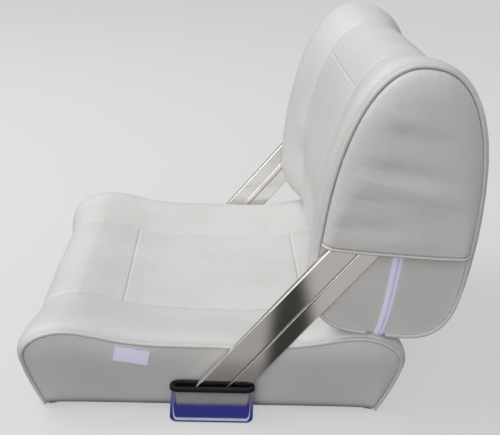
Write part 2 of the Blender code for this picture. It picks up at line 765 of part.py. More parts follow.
def make_trim(name, sign, material):
    """The rubber edging that grips the pocket's rim, round on top."""
    middle = -POCKET_WALL / 2
    slot = POCKET_WALL / 2 + TOUCH_GAP
    bead = TRIM_BEAD_WIDTH / 2
    skirt = POCKET_RIM_HEIGHT - TRIM_SKIRT
    section = [(middle + slot, skirt), (middle + bead, skirt)]
    crown = TRIM_TOP - bead
    for k in range(5):
        angle = math.pi * k / 4
        section.append((middle + bead * math.cos(angle), crown + bead * math.sin(angle)))
    roof = POCKET_RIM_HEIGHT + TOUCH_GAP
    section += [(middle - bead, skirt), (middle - slot, skirt), (middle - slot, roof),
                (middle + slot, roof)]
    rings = []
    for out, height in section:
        shape = rounded_rectangle(POCKET_HALF_WIDTH + out, POCKET_HALF_LENGTH + out,
                                  POCKET_CORNER_RADIUS + out)
        rings.append([(sign * (POCKET_MID_X + x), y, height) for x, y in shape])
    bm, made = grid_mesh(rings + rings[:1], wrap=True)
    bmesh.ops.remove_doubles(bm, verts=bm.verts, dist=MERGE)
    return add_object("rim_trim_" + name, faces_out(bm), material, smooth_angle=50)


def make_pivot(name, sign, steel, nylon, arm_anchor):
    """Shoulder bolt and spacer of a lower pivot, and the bush that turns with the arm."""
    turn = Matrix.Translation((0, 0, PIVOT_HEIGHT)) @ Matrix.Diagonal((sign, 1, 1, 1))
    boss_face = ARM_OUTER_X + BUSH_FLANGE_THICKNESS + 2 * TOUCH_GAP
    under = POCKET_INNER_X - TOUCH_GAP
    top = under - PIVOT_HEAD_HEIGHT
    floor = top + PIVOT_SOCKET_DEPTH
    shoulder = boss_face - TOUCH_GAP
    tip = boss_face + PIVOT_THREAD_LENGTH
    bolt = turned([(0, floor), (PIVOT_SOCKET_RADIUS, floor), (PIVOT_SOCKET_RADIUS, top),
                   (PIVOT_HEAD_RADIUS * 0.7, top), (PIVOT_HEAD_RADIUS, under - TAG_THICKNESS),
                   (PIVOT_HEAD_RADIUS, under), (PIVOT_SHANK_RADIUS, under),
                   (PIVOT_SHANK_RADIUS, shoulder), (PIVOT_THREAD_RADIUS, shoulder),
                   (PIVOT_THREAD_RADIUS, tip), (0, tip)])
    holder = bmesh.new()
    add_to(holder, bolt, turn)
    add_object("pivot_bolt_" + name, holder, steel, smooth_angle=40)
    bore = PIVOT_SHANK_RADIUS + TOUCH_GAP
    spacer = ring_tube(SPACER_RADIUS, bore, POCKET_INNER_X + POCKET_WALL + TOUCH_GAP,
                       ARM_INNER_X - TOUCH_GAP)
    holder = bmesh.new()
    add_to(holder, spacer, turn)
    add_object("pivot_spacer_" + name, holder, nylon, smooth_angle=40)
    seat = ARM_OUTER_X + TOUCH_GAP
    rim = seat + BUSH_FLANGE_THICKNESS
    section = ((bore, ARM_INNER_X), (BUSH_RADIUS, ARM_INNER_X), (BUSH_RADIUS, seat),
               (BUSH_FLANGE_RADIUS, seat), (BUSH_FLANGE_RADIUS, rim), (bore, rim))
    rings = [circle(radius, sign * along) for radius, along in section]
    bm, made = grid_mesh(rings + rings[:1], wrap=True)
    bmesh.ops.remove_doubles(bm, verts=bm.verts, dist=MERGE)
    add_object("pivot_bush_" + name, faces_out(bm), nylon, arm_anchor, smooth_angle=40)


def arm_section():
    """Outline of the flat bar, (thickness, width): round edges and a groove in each face."""
    half_t, half_w = ARM_THICKNESS / 2, ARM_WIDTH / 2
    centre, half_g = ARM_GROOVE_OFFSET, ARM_GROOVE_WIDTH / 2
    face = [(half_t, centre - half_g), (half_t - ARM_GROOVE_DEPTH, centre - half_g / 2),
            (half_t - ARM_GROOVE_DEPTH, centre + half_g / 2), (half_t, centre + half_g)]
    edge = []
    radius = ARM_EDGE_RADIUS
    for k in range(CORNER_STEPS):
        angle = math.pi / 2 * k / (CORNER_STEPS - 1)
        edge.append((half_t - radius + radius * math.cos(angle),
                     half_w - radius + radius * math.sin(angle)))
    for k in range(CORNER_STEPS):
        angle = math.pi / 2 * (1 + k / (CORNER_STEPS - 1))
        edge.append((-half_t + radius + radius * math.cos(angle),
                     half_w - radius + radius * math.sin(angle)))
    half = face + edge
    return half + [(-t, -w) for t, w in half]


def make_arm(name, sign, material, arm_anchor):
    """A polished flat arm with round ends, a bush hole and a countersunk bolt hole."""
    reach = ARM_WIDTH / 2
    middle = sign * (ARM_INNER_X + ARM_THICKNESS / 2)
    section = [(middle + sign * t, w) for t, w in arm_section()]
    low, high = -reach - CUT_OVERRUN, ARM_LENGTH + reach + CUT_OVERRUN
    bar = loft([[(x, y, z) for x, y in section] for z in (low, high)])
    arm = add_object("arm_" + name, bar, material, arm_anchor, smooth_angle=30)
    ends = []
    for k in range(ARM_END_STEPS + 1):
        angle = math.pi * k / ARM_END_STEPS
        ends.append((reach * math.cos(angle), ARM_LENGTH + reach * math.sin(angle)))
    for k in range(ARM_END_STEPS + 1):
        angle = math.pi * (1 + k / ARM_END_STEPS)
        ends.append((reach * math.cos(angle), reach * math.sin(angle)))
    wide = ARM_THICKNESS / 2 + CUT_OVERRUN
    stadium = loft([[(middle + side * wide, y, z) for y, z in ends] for side in (-1, 1)])
    combine(arm, cutter("arm_ends_" + name, stadium, arm_anchor), "INTERSECT")
    hole = BUSH_RADIUS + TOUCH_GAP
    start, end = ARM_INNER_X - CUT_OVERRUN, ARM_OUTER_X + CUT_OVERRUN
    holder = bmesh.new()
    mirror = Matrix.Diagonal((sign, 1, 1, 1))
    add_to(holder, turned([(0, start), (hole, start), (hole, end), (0, end)]), mirror)
    narrow = SHAFT_BOLT_RADIUS + TOUCH_GAP
    wide_head = SHAFT_BOLT_HEAD_RADIUS + TOUCH_GAP
    cone = ARM_OUTER_X - SHAFT_BOLT_HEAD_HEIGHT
    sink = turned([(0, start), (narrow, start), (narrow, cone), (wide_head, ARM_OUTER_X),
                   (wide_head, end), (0, end)])
    add_to(holder, sink, Matrix.Translation((0, 0, ARM_LENGTH)) @ mirror)
    combine(arm, cutter("arm_holes_" + name, holder, arm_anchor))
    return arm


def make_shaft(steel, nylon, arm_anchor):
    """The cross shaft, its end bolts and the spacers that centre the back on it."""
    end = ARM_INNER_X - TOUCH_GAP
    floor = end - SHAFT_BORE_DEPTH
    lift = Matrix.Translation((0, 0, ARM_LENGTH))
    bore = SHAFT_BORE_RADIUS
    holder = bmesh.new()
    add_to(holder, turned([(0, -floor), (bore, -floor), (bore, -end), (SHAFT_RADIUS, -end),
                           (SHAFT_RADIUS, end), (bore, end), (bore, floor), (0, floor)]), lift)
    add_object("cross_shaft", holder, steel, arm_anchor, smooth_angle=40)
    for name, sign in SIDES:
        turn = lift @ Matrix.Diagonal((sign, 1, 1, 1))
        top = ARM_OUTER_X - TOUCH_GAP
        cone = top - SHAFT_BOLT_HEAD_HEIGHT
        socket = PIVOT_SOCKET_RADIUS
        deep = top - PIVOT_SOCKET_DEPTH
        tip = top - SHAFT_BOLT_LENGTH
        bolt = turned([(0, tip), (SHAFT_BOLT_RADIUS, tip), (SHAFT_BOLT_RADIUS, cone),
                       (SHAFT_BOLT_HEAD_RADIUS, top), (socket, top), (socket, deep), (0, deep)])
        holder = bmesh.new()
        add_to(holder, bolt, turn)
        add_object("shaft_bolt_" + name, holder, steel, arm_anchor, smooth_angle=40)
        spacer = ring_tube(SHAFT_SPACER_RADIUS, SHAFT_RADIUS + TOUCH_GAP,
                           BLOCK_OUTER_X + TOUCH_GAP, ARM_INNER_X - TOUCH_GAP)
        holder = bmesh.new()
        add_to(holder, spacer, turn)
        add_object("shaft_spacer_" + name, holder, nylon, arm_anchor, smooth_angle=40)


def back_outline_point(angle):
    """A point of the back's side view: a fuller curve below the waist than above it."""
    above = math.sin(angle) >= 0
    roundness = 2 / (BACK_TOP_ROUNDNESS_SHARE if above else BACK_BOTTOM_ROUNDNESS_SHARE)
    height = BACK_TOP + BACK_WAIST if above else BACK_BOTTOM - BACK_WAIST
    across = math.copysign(abs(math.cos(angle)) ** roundness, math.cos(angle))
    up = math.copysign(abs(math.sin(angle)) ** roundness, math.sin(angle))
    return -BACK_HALF_DEPTH * across, -BACK_WAIST + height * up


def back_outline():
    """The back's side view from its front waist over the top, down and round underneath."""
    seam = math.pi / 4
    groove = SEAM_HALF_WIDTH / BACK_HALF_DEPTH
    step = math.pi / 2 / BACK_QUARTER_STEPS
    quarter = []
    for k in range(BACK_QUARTER_STEPS):
        if abs(k * step - seam) < step / 4:
            quarter += [(seam - groove, False), (seam, True), (seam + groove, False)]
        else:
            quarter.append((k * step, False))
    upper = quarter + [(math.pi / 2, False)]
    upper += [(math.pi - angle, groove_here) for angle, groove_here in quarter[::-1]]
    lower_count = 2 * (BACK_QUARTER_STEPS - 1)
    lower = [(math.pi + math.pi * k / lower_count, False) for k in range(1, lower_count)]
    whole = upper + lower
    return [back_outline_point(angle) for angle, groove in whole], [g for a, g in whole]


def back_row(outline, normals, grooves, share, band, seam, inset):
    """One station of the back's wrap."""
    points = []
    for (across, up), normal, groove in zip(outline, normals, grooves):
        under = max(0.0, -normal[1])
        firm = 1 - 0.85 * under
        if band:
            edge = BACK_HALF_WIDTH - EDGE_CHAMFER
            x = BACK_BAND_SEAM_X + (edge - BACK_BAND_SEAM_X) * share
            swell = BACK_BAND_CROWN * firm * hump(share) - BACK_BAND_DIP * (1 - share)
        else:
            x = BACK_BAND_SEAM_X * share
            swell = BACK_MIDDLE_CROWN * math.sqrt(1 - share ** 2) - BACK_BAND_DIP
        if seam or (groove and not band):
            swell -= SEAM_DEPTH
        swell -= inset
        points.append((x, across + swell * normal[0], up + swell * normal[1]))
    return points


def back_cheek_row(outline, normals, share, inset):
    """A ring of the back's cheek between the shaft hole and the chamfer under the piping."""
    row = []
    for (across, up), normal in zip(outline, normals):
        edge = (across - (EDGE_CHAMFER + inset) * normal[0],
                up - (EDGE_CHAMFER + inset) * normal[1])
        length = math.hypot(*edge)
        hole = (edge[0] * BACK_HOLE_RADIUS / length, edge[1] * BACK_HOLE_RADIUS / length)
        puff = BACK_CHEEK_PUFF * math.sqrt(1 - share ** 2)
        row.append((BACK_HALF_WIDTH - inset + puff, hole[0] + (edge[0] - hole[0]) * share,
                    hole[1] + (edge[1] - hole[1]) * share))
    return row


def back_rows(inset, fine):
    """Rings of the back's skin from the left cheek's hole to the right cheek's hole."""
    outline, grooves = back_outline()
    normals = outline_normals(outline, closed=True)
    seam_share = SEAM_HALF_WIDTH / (BACK_HALF_WIDTH - BACK_BAND_SEAM_X)
    bands = [1.0, *BAND_STATION_SHARES] if fine else [1.0, 0.5]
    stations = [(share, True, False) for share in bands]
    if fine:
        stations.append((seam_share, True, False))
    stations.append((1.0, False, True))
    if fine:
        stations.append((1 - SEAM_HALF_WIDTH / BACK_BAND_SEAM_X, False, False))
    stations += [(share, False, False) for share in MIDDLE_STATION_SHARES]
    cheeks = (0.0, 0.5, 1.0) if fine else (0.0, 1.0)
    half = [back_cheek_row(outline, normals, share, inset) for share in cheeks]
    half += [back_row(outline, normals, grooves, *station, inset) for station in stations]
    other = [[(-x, y, z) for x, y, z in row] for row in half[-2::-1]]
    return half + other


def make_back_cover(material, carrier):
    """The back's sewn skin, with a hole in each cheek for the shaft."""
    bm, made = grid_mesh(back_rows(0.0, fine=True), wrap=True)
    upright(bm, Vector((0, 0, 0)))
    cover = add_object("back_cover", bm, material, carrier, smooth_angle=50)
    thicken(cover, COVER_THICKNESS)
    return cover


def make_back_foams(material, carrier):
    """Two foam slabs, one each side of the boards, hollowed for the shaft and its blocks."""
    face = BACK_BOARD_THICKNESS / 2 + TOUCH_GAP
    channel = SHAFT_RADIUS + FOAM_CLEARANCE
    wide_channel = SHAFT_SPACER_RADIUS + FOAM_CLEARANCE
    ends = BACK_HALF_WIDTH + CUT_OVERRUN
    step = BLOCK_OUTER_X
    for name, side in (("front", -1), ("rear", 1)):
        bm = loft(back_rows(FOAM_INSET, fine=False))
        bmesh.ops.bisect_plane(bm, geom=list(bm.verts) + list(bm.edges) + list(bm.faces),
                               plane_co=(0, side * face, 0), plane_no=(0, -side, 0),
                               clear_outer=True)
        bmesh.ops.holes_fill(bm, edges=[e for e in bm.edges if e.is_boundary], sides=0)
        foam = add_object("back_foam_" + name, faces_out(bm), material, carrier, smooth_angle=50)
        tool = turned([(0, -ends), (wide_channel, -ends), (wide_channel, -step),
                       (channel, -step), (channel, step), (wide_channel, step),
                       (wide_channel, ends), (0, ends)])
        combine(foam, cutter("shaft_channel_" + name, tool, carrier))
        deep = BLOCK_HALF_DEPTH + BLOCK_BOLT_HEAD_HEIGHT + BLOCK_NUT_HEIGHT
        tall = BLOCK_HALF_HEIGHT + FOAM_CLEARANCE
        rooms = bmesh.new()
        for label, sign in SIDES:
            xs = sorted((sign * (BLOCK_OUTER_X + FOAM_CLEARANCE),
                         sign * (BLOCK_OUTER_X - BLOCK_WIDTH - FOAM_CLEARANCE)))
            add_to(rooms, box((xs[0], -deep, -tall), (xs[1], deep, tall)))
        combine(foam, cutter("block_rooms_" + name, rooms, carrier))


def block_bolt_places():
    """The named (x, height) places of the bolts through the bearing blocks."""
    x = BLOCK_OUTER_X - BLOCK_WIDTH / 2
    return [(f"{name}_{level}", sign * x, up * BLOCK_BOLT_HEIGHT)
            for name, sign in SIDES for level, up in LEVELS]


def along_y(x, y, z):
    """Lays a solid turned about X along +Y at a place."""
    return Matrix.Translation((x, y, z)) @ Matrix.Rotation(math.pi / 2, 4, "Z")


def make_back_boards(material, carrier):
    """Plywood core in two boards, above and below the shaft."""
    half_t = BACK_BOARD_THICKNESS / 2
    gap = BLOCK_WEB_HALF_HEIGHT + TOUCH_GAP
    radius = BLOCK_BOLT_RADIUS + TOUCH_GAP
    for name, low, high in (("upper", gap, BACK_BOARD_TOP), ("lower", -BACK_BOARD_BOTTOM, -gap)):
        shape = rounded_rectangle(BACK_BOARD_HALF_WIDTH, (high - low) / 2, BOARD_CORNER_RADIUS)
        middle = (low + high) / 2
        bm = loft([[(x, y, middle + z) for x, z in shape] for y in (-half_t, half_t)])
        board = add_object("back_board_" + name, bm, material, carrier)
        holes = bmesh.new()
        for label, x, z in block_bolt_places():
            if low < z < high:
                start, end = -half_t - CUT_OVERRUN, half_t + CUT_OVERRUN
                hole = [(0, start), (radius, start), (radius, end), (0, end)]
                add_to(holes, turned(hole, SMALL_STEPS), along_y(x, 0, z))
        combine(board, cutter("board_holes_" + name, holes, carrier))


def make_bearing_block(name, sign, material, carrier):
    """A nylon block that runs on the shaft and grips both boards in its slots."""
    deep, tall = BLOCK_HALF_DEPTH, BLOCK_HALF_HEIGHT
    slot, web = BACK_BOARD_THICKNESS / 2 + TOUCH_GAP, BLOCK_WEB_HALF_HEIGHT
    outline = [(slot, tall), (slot, web), (-slot, web), (-slot, tall), (-deep, tall),
               (-deep, -tall), (-slot, -tall), (-slot, -web), (slot, -web), (slot, -tall),
               (deep, -tall), (deep, tall)]
    ends = (sign * (BLOCK_OUTER_X - BLOCK_WIDTH), sign * BLOCK_OUTER_X)
    block = add_object("bearing_block_" + name,
                       loft([[(x, y, z) for y, z in outline] for x in ends]), material, carrier)
    bore = SHAFT_RADIUS + TOUCH_GAP
    start, end = BLOCK_OUTER_X - BLOCK_WIDTH - CUT_OVERRUN, BLOCK_OUTER_X + CUT_OVERRUN
    holes = bmesh.new()
    add_to(holes, turned([(0, start), (bore, start), (bore, end), (0, end)]),
           Matrix.Diagonal((sign, 1, 1, 1)))
    combine(block, cutter("block_bore_" + name, holes, carrier))
    radius = BLOCK_BOLT_RADIUS + TOUCH_GAP
    far = deep + CUT_OVERRUN
    bolts = bmesh.new()
    for label, x, z in block_bolt_places():
        if x * sign > 0:
            hole = [(0, -far), (radius, -far), (radius, far), (0, far)]
            add_to(bolts, turned(hole, SMALL_STEPS), along_y(x, 0, z))
    combine(block, cutter("block_bolt_holes_" + name, bolts, carrier))
    return block


def make_block_bolts(material, carrier):
    """Bolts and nuts that clamp the blocks to the boards."""
    face = BLOCK_HALF_DEPTH + TOUCH_GAP
    head = face + BLOCK_BOLT_HEAD_HEIGHT
    nut_end = face + BLOCK_NUT_HEIGHT
    tip = -(nut_end + SCREW_RADIUS / 2)
    profile = [(0, tip), (BLOCK_BOLT_RADIUS, tip), (BLOCK_BOLT_RADIUS, face),
               (BLOCK_BOLT_HEAD_RADIUS, face), (BLOCK_BOLT_HEAD_RADIUS, head), (0, head)]
    for label, x, z in block_bolt_places():
        bolt = bmesh.new()
        add_to(bolt, turned(profile, SMALL_STEPS), along_y(0, 0, 0))
        bolt = add_object("block_bolt_" + label, bolt, material, carrier, smooth_angle=40)
        bolt.location = (x, 0, z)
        nut = bmesh.new()
        ring = ring_tube(BLOCK_NUT_RADIUS, BLOCK_BOLT_RADIUS + TOUCH_GAP, -nut_end, -face,
                         SMALL_STEPS)
        add_to(nut, ring, along_y(0, 0, 0))
        nut = add_object("block_nut_" + label, nut, material, carrier, smooth_angle=40)
        nut.location = (x, 0, z)


def back_piping_path(sign):
    """The cord's centre line round a side of the back, open where the zip passes."""
    outline, grooves = back_outline()
    normals = outline_normals(outline, closed=True)
    lowest = min(range(len(outline)), key=lambda k: outline[k][1])
    order = [(lowest + k) % len(outline) for k in range(1, len(outline))]
    path = [(sign * (BACK_HALF_WIDTH + PIPING_SEAT), outline[k][0] + PIPING_SEAT * normals[k][0],
             outline[k][1] + PIPING_SEAT * normals[k][1]) for k in order]
    bottom = -BACK_BOTTOM - PIPING_SEAT
    side = math.copysign(PIPING_NOTCH, path[0][1])
    start = (path[0][0], side, bottom)
    end = (path[0][0], -side, bottom)
    return [start] + path + [end]


def make_zip(material, metal, carrier):
    """A zip tape along the middle of the cheeks and the underside, and its slider."""
    outline, grooves = back_outline()
    lowest = min(range(len(outline)), key=lambda k: outline[k][1])
    rows = back_rows(0.0, fine=True)
    line = [Vector(row[lowest]) for row in rows]
    start, first = line[0], line[1]
    share = (start.z + ZIP_START) / (start.z - first.z)
    line[0] = start.lerp(first, share)
    start, first = line[-1], line[-2]
    line[-1] = start.lerp(first, share)
    half = ZIP_WIDTH / 2
    lift = 2 * TOUCH_GAP
    under, over, outs = [], [], []
    for k, point in enumerate(line):
        before = line[max(0, k - 1)]
        after = line[min(len(line) - 1, k + 1)]
        along = (after - before).normalized()
        out = Vector((along.z, 0, -along.x))
        if out.dot(Vector((point.x, 0, point.z))) < 0:
            out.negate()
        under.append(point + out * lift)
        over.append(point + out * (lift + ZIP_THICKNESS))
        outs.append(out)
    rings = []
    for low, high in zip(under, over):
        rings.append([low + Vector((0, -half, 0)), low + Vector((0, half, 0)),
                      high + Vector((0, half, 0)), high + Vector((0, -half, 0))])
    add_object("zip_tape", loft(rings), material, carrier, smooth_angle=40)
    wide, long = ZIP_SLIDER_WIDTH / 2, ZIP_SLIDER_LENGTH / 2
    slider = box((0, -wide, -long), (ZIP_SLIDER_HEIGHT, wide, long))
    start, end = over[ZIP_SLIDER_STATION], over[ZIP_SLIDER_STATION + 1]
    along = (end - start).normalized()
    out = Vector((along.z, 0, -along.x))
    if out.dot(outs[ZIP_SLIDER_STATION]) < 0:
        out.negate()
    place = (start + end) / 2 + out * TOUCH_GAP
    turn = Matrix((out, along.cross(out), along)).transposed().to_4x4()
    bmesh.ops.transform(slider, matrix=Matrix.Translation(place) @ turn, verts=slider.verts)
    add_object("zip_slider", slider, metal, carrier)


def flap_columns():
    """The back outline from the hem's front end over the top to its rear end."""
    depth = (HEM_HEIGHT - BACK_WAIST) / (BACK_BOTTOM - BACK_WAIST)
    dip = math.asin(depth ** (BACK_BOTTOM_ROUNDNESS_SHARE / 2))
    steps = 2 * (BACK_QUARTER_STEPS + 1)
    angles = [-dip] + [math.pi * k / (steps - 2) for k in range(steps - 1)] + [math.pi + dip]
    return [back_outline_point(angle) for angle in angles]


def flap_rows(lift=0.0):
    """Rows of a flap from its sewn edge in to its spine, as (x, across, up) points."""
    outline = flap_columns()
    normals = outline_normals(outline, closed=False)
    count = len(outline)
    top = BACK_TOP - FLAP_SPINE_DROP
    base = BACK_HALF_WIDTH + BACK_CHEEK_PUFF
    wall = FLAP_OUTER_X - base
    sections = [(0.0, BACK_HALF_WIDTH + FLAP_LIFT)]
    for k in range(1, 4):
        angle = math.pi / 2 * k / 3
        sections.append((1 - math.cos(angle), base + wall * math.sin(angle)))
    rows = []
    for reach_share, x in sections:
        row = []
        for k, ((across, up), normal) in enumerate(zip(outline, normals)):
            side = math.copysign(1.0, across) if k in (0, count - 1) else normal[0]
            rise = 0.0 if k in (0, count - 1) else normal[1]
            high_share = max(0.0, up / BACK_TOP) ** 2
            curve = FLAP_ROUND + (FLAP_TOP_ROUND - FLAP_ROUND) * high_share
            inset = FLAP_EDGE_INSET + curve * reach_share
            row.append((x, across - inset * side, up - inset * rise))
        rows.append(row)
    last = rows[-1]
    for share in (0.45, 1.0):
        row = []
        for k, (x, across, up) in enumerate(last):
            place = min(k, count - 1 - k) / ((count - 1) / 2)
            spine = -HEM_HEIGHT + (top + HEM_HEIGHT) * place
            puff = FLAP_RISE * math.sqrt(share * (2 - share))
            row.append((x + puff, across * (1 - share), up + (spine - up) * share))
        rows.append(row)
    for row in rows:
        for k, (x, across, up) in enumerate(row):
            place = min(k, count - 1 - k) / ((count - 1) / 2)
            side = across / BACK_HALF_DEPTH
            row[k] = (x, across, up + (HEM_RISE * side ** 4 + HEM_SKEW * side) * (1 - place))
    return rows


def make_flap(name, sign, material, carrier):
    """A side flap: sewn along the piping, open along its hem, over the arm's end."""
    rows = [[(sign * x, y, z) for x, y, z in row] for row in flap_rows()]
    bm, made = grid_mesh(rows)
    bmesh.ops.remove_doubles(bm, verts=bm.verts, dist=MERGE)
    upright(bm, Vector((0, 0, 0)))
    flap = add_object("side_flap_" + name, bm, material, carrier, smooth_angle=50)
    thicken(flap, FLAP_THICKNESS)
    return flap


def hem_path(sign):
    """Centre line of the cord along a flap's lower edge."""
    rows = flap_rows()
    front = [row[0] for row in rows]
    rear = [row[-1] for row in rows[-2::-1]]
    drop = HEM_RADIUS + TOUCH_GAP * 2
    middle = FLAP_THICKNESS / 2
    points = []
    line = front + rear
    for k, (x, across, up) in enumerate(line):
        before = Vector(line[max(0, k - 1)])
        after = Vector(line[min(len(line) - 1, k + 1)])
        along = (after - before).normalized()
        points.append((sign * (x - middle * abs(along.y)),
                       across + middle * along.x, up - drop))
    return points[1:-1]


def main():
    """Build every piece."""
    clear_scene()
    vinyl = finish("vinyl", (0.78, 0.77, 0.74), 0.45)
    cord = finish("piping_vinyl", (0.72, 0.71, 0.69), 0.5)
    foam = finish("foam", (0.85, 0.80, 0.62), 0.95)
    wood = finish("plywood", (0.55, 0.40, 0.24), 0.75)
    steel = finish("polished_steel", (0.75, 0.75, 0.76), 0.12, 1.0)
    aluminium = finish("polished_aluminium", (0.80, 0.80, 0.80), 0.22, 1.0)
    rubber = finish("black_rubber", (0.02, 0.02, 0.022), 0.6)
    nylon = finish("nylon", (0.08, 0.08, 0.085), 0.5)
    webbing = finish("zip_webbing", (0.74, 0.72, 0.86), 0.8)

    arm_anchor = anchor("arm_axis", (0, 0, PIVOT_HEIGHT), -ARM_LEAN)
    carrier = anchor("back_axis", (0, SHAFT_Y, SHAFT_Z), -BACK_TILT)

    make_board(wood)
    make_tee_nuts(steel)
    make_seat_foam(foam)
    make_seat_cover(vinyl)
    make_tag(webbing)
    make_bracket_screws(steel)
    make_shaft(steel, nylon, arm_anchor)
    make_back_boards(wood, carrier)
    make_block_bolts(steel, carrier)
    make_back_foams(foam, carrier)
    make_back_cover(vinyl, carrier)
    make_zip(webbing, steel, carrier)
    for name, sign in SIDES:
        tube_along("seat_piping_" + name, seat_piping_path(sign), PIPING_RADIUS, cord)
        make_pocket(name, sign, steel)
        make_trim(name, sign, rubber)
        make_pivot(name, sign, steel, nylon, arm_anchor)
        make_arm(name, sign, aluminium, arm_anchor)
        make_bearing_block(name, sign, nylon, carrier)
        tube_along("back_piping_" + name, back_piping_path(sign), PIPING_RADIUS, cord, carrier)
        make_flap(name, sign, vinyl, carrier)
        tube_along("flap_hem_" + name, hem_path(sign), HEM_RADIUS, cord, carrier)


main()
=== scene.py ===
# %% [markdown]
# # A flip-back boat helm seat, dressed
#
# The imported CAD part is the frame: every board, bolt, bracket, arm and cushion already has its
# real size and place. This lesson puts the looks on it. Soft pieces are rebuilt as fine surfaces
# with seams, crowns and creases, metal gets its polish, and a plain studio is set up around it.

# %% Load the frame
import math

import bmesh
import bpy
import numpy as np
from mathutils import Matrix, Vector


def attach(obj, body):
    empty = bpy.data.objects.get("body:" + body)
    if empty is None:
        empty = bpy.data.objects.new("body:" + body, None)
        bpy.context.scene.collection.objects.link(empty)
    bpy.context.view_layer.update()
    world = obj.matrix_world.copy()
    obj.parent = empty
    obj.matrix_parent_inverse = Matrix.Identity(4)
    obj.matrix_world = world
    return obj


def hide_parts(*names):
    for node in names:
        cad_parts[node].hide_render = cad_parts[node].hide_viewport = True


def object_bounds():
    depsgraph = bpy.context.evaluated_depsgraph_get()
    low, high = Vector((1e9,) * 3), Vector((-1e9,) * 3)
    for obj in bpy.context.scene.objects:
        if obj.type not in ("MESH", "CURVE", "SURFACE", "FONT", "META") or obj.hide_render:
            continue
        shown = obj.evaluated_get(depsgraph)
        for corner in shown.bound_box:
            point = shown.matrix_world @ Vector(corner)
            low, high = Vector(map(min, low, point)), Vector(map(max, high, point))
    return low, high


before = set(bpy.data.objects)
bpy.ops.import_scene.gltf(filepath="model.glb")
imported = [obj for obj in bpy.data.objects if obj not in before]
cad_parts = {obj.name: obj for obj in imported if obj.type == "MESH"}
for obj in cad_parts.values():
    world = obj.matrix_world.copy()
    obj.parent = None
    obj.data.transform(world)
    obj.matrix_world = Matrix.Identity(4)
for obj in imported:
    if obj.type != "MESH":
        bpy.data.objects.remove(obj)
cad_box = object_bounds()
print("CAD box", cad_box)

# %% [markdown]
# ## Camera
#
# The photograph looks at the seat's left side from above. The camera's place and turn were
# worked out by fitting straight edges whose real sizes are known, so each pixel of the picture
# and each point of the part agree. The matrix below holds the camera's right, up and back axes,
# and its place in the last column.

# %% Camera
FOCAL_PIXELS = 889.37
PICTURE_WIDTH = 500
SENSOR_WIDTH = 36.0

camera_data = bpy.data.cameras.new("photo_camera")
camera_data.sensor_width = SENSOR_WIDTH
camera_data.lens = FOCAL_PIXELS * SENSOR_WIDTH / PICTURE_WIDTH
camera = bpy.data.objects.new("photo_camera", camera_data)
bpy.context.scene.collection.objects.link(camera)
camera.matrix_world = Matrix(((0.03087829, -0.35482971, 0.9344209, 1.2152),
                              (0.99864264, -0.02827981, -0.04373928, -0.0074),
                              (0.04194524, 0.93450315, 0.35347484, 0.6250),
                              (0, 0, 0, 1)))
bpy.context.scene.camera = camera
print("lens", round(camera_data.lens, 2), "mm")

# %% [markdown]
# ## Materials written as expressions
#
# A procedural material is a small formula: noise, stripes and masks added and multiplied. Node
# trees can be wired link by link, but the formula then gets lost among the links. Here one small
# class wraps a socket, so that `1 - mask` or `weave * 0.3` builds the Math node by itself. A
# second one makes every node of a material, of the floor and of the world around it.

# %% A socket that does arithmetic
class Value:
    """A node's output socket with + - * and a few functions, each of which adds a Math node."""

    def __init__(self, nodes, socket):
        self.nodes = nodes
        self.socket = socket

    def math(self, operation, *others, clamp=False):
        return self.nodes.node("ShaderNodeMath", {"operation": operation, "use_clamp": clamp},
                               dict(enumerate((self, *others))))

    def __add__(self, other):
        return self.math("ADD", other)

    def __sub__(self, other):
        return self.math("SUBTRACT", other)

    def __mul__(self, other):
        return self.math("MULTIPLY", other)

    __radd__ = __add__
    __rmul__ = __mul__

    def __rsub__(self, other):
        return (self * -1) + other

    def __abs__(self):
        return self.math("ABSOLUTE")

    def sine(self):
        return self.math("SINE")

    def clamped(self):
        return self.math("ADD", 0.0, clamp=True)

    def smooth(self, low, high):
        """0 below low, 1 above high, and an S curve between."""
        return self.nodes.map_range({"Value": self, "From Min": low, "From Max": high})


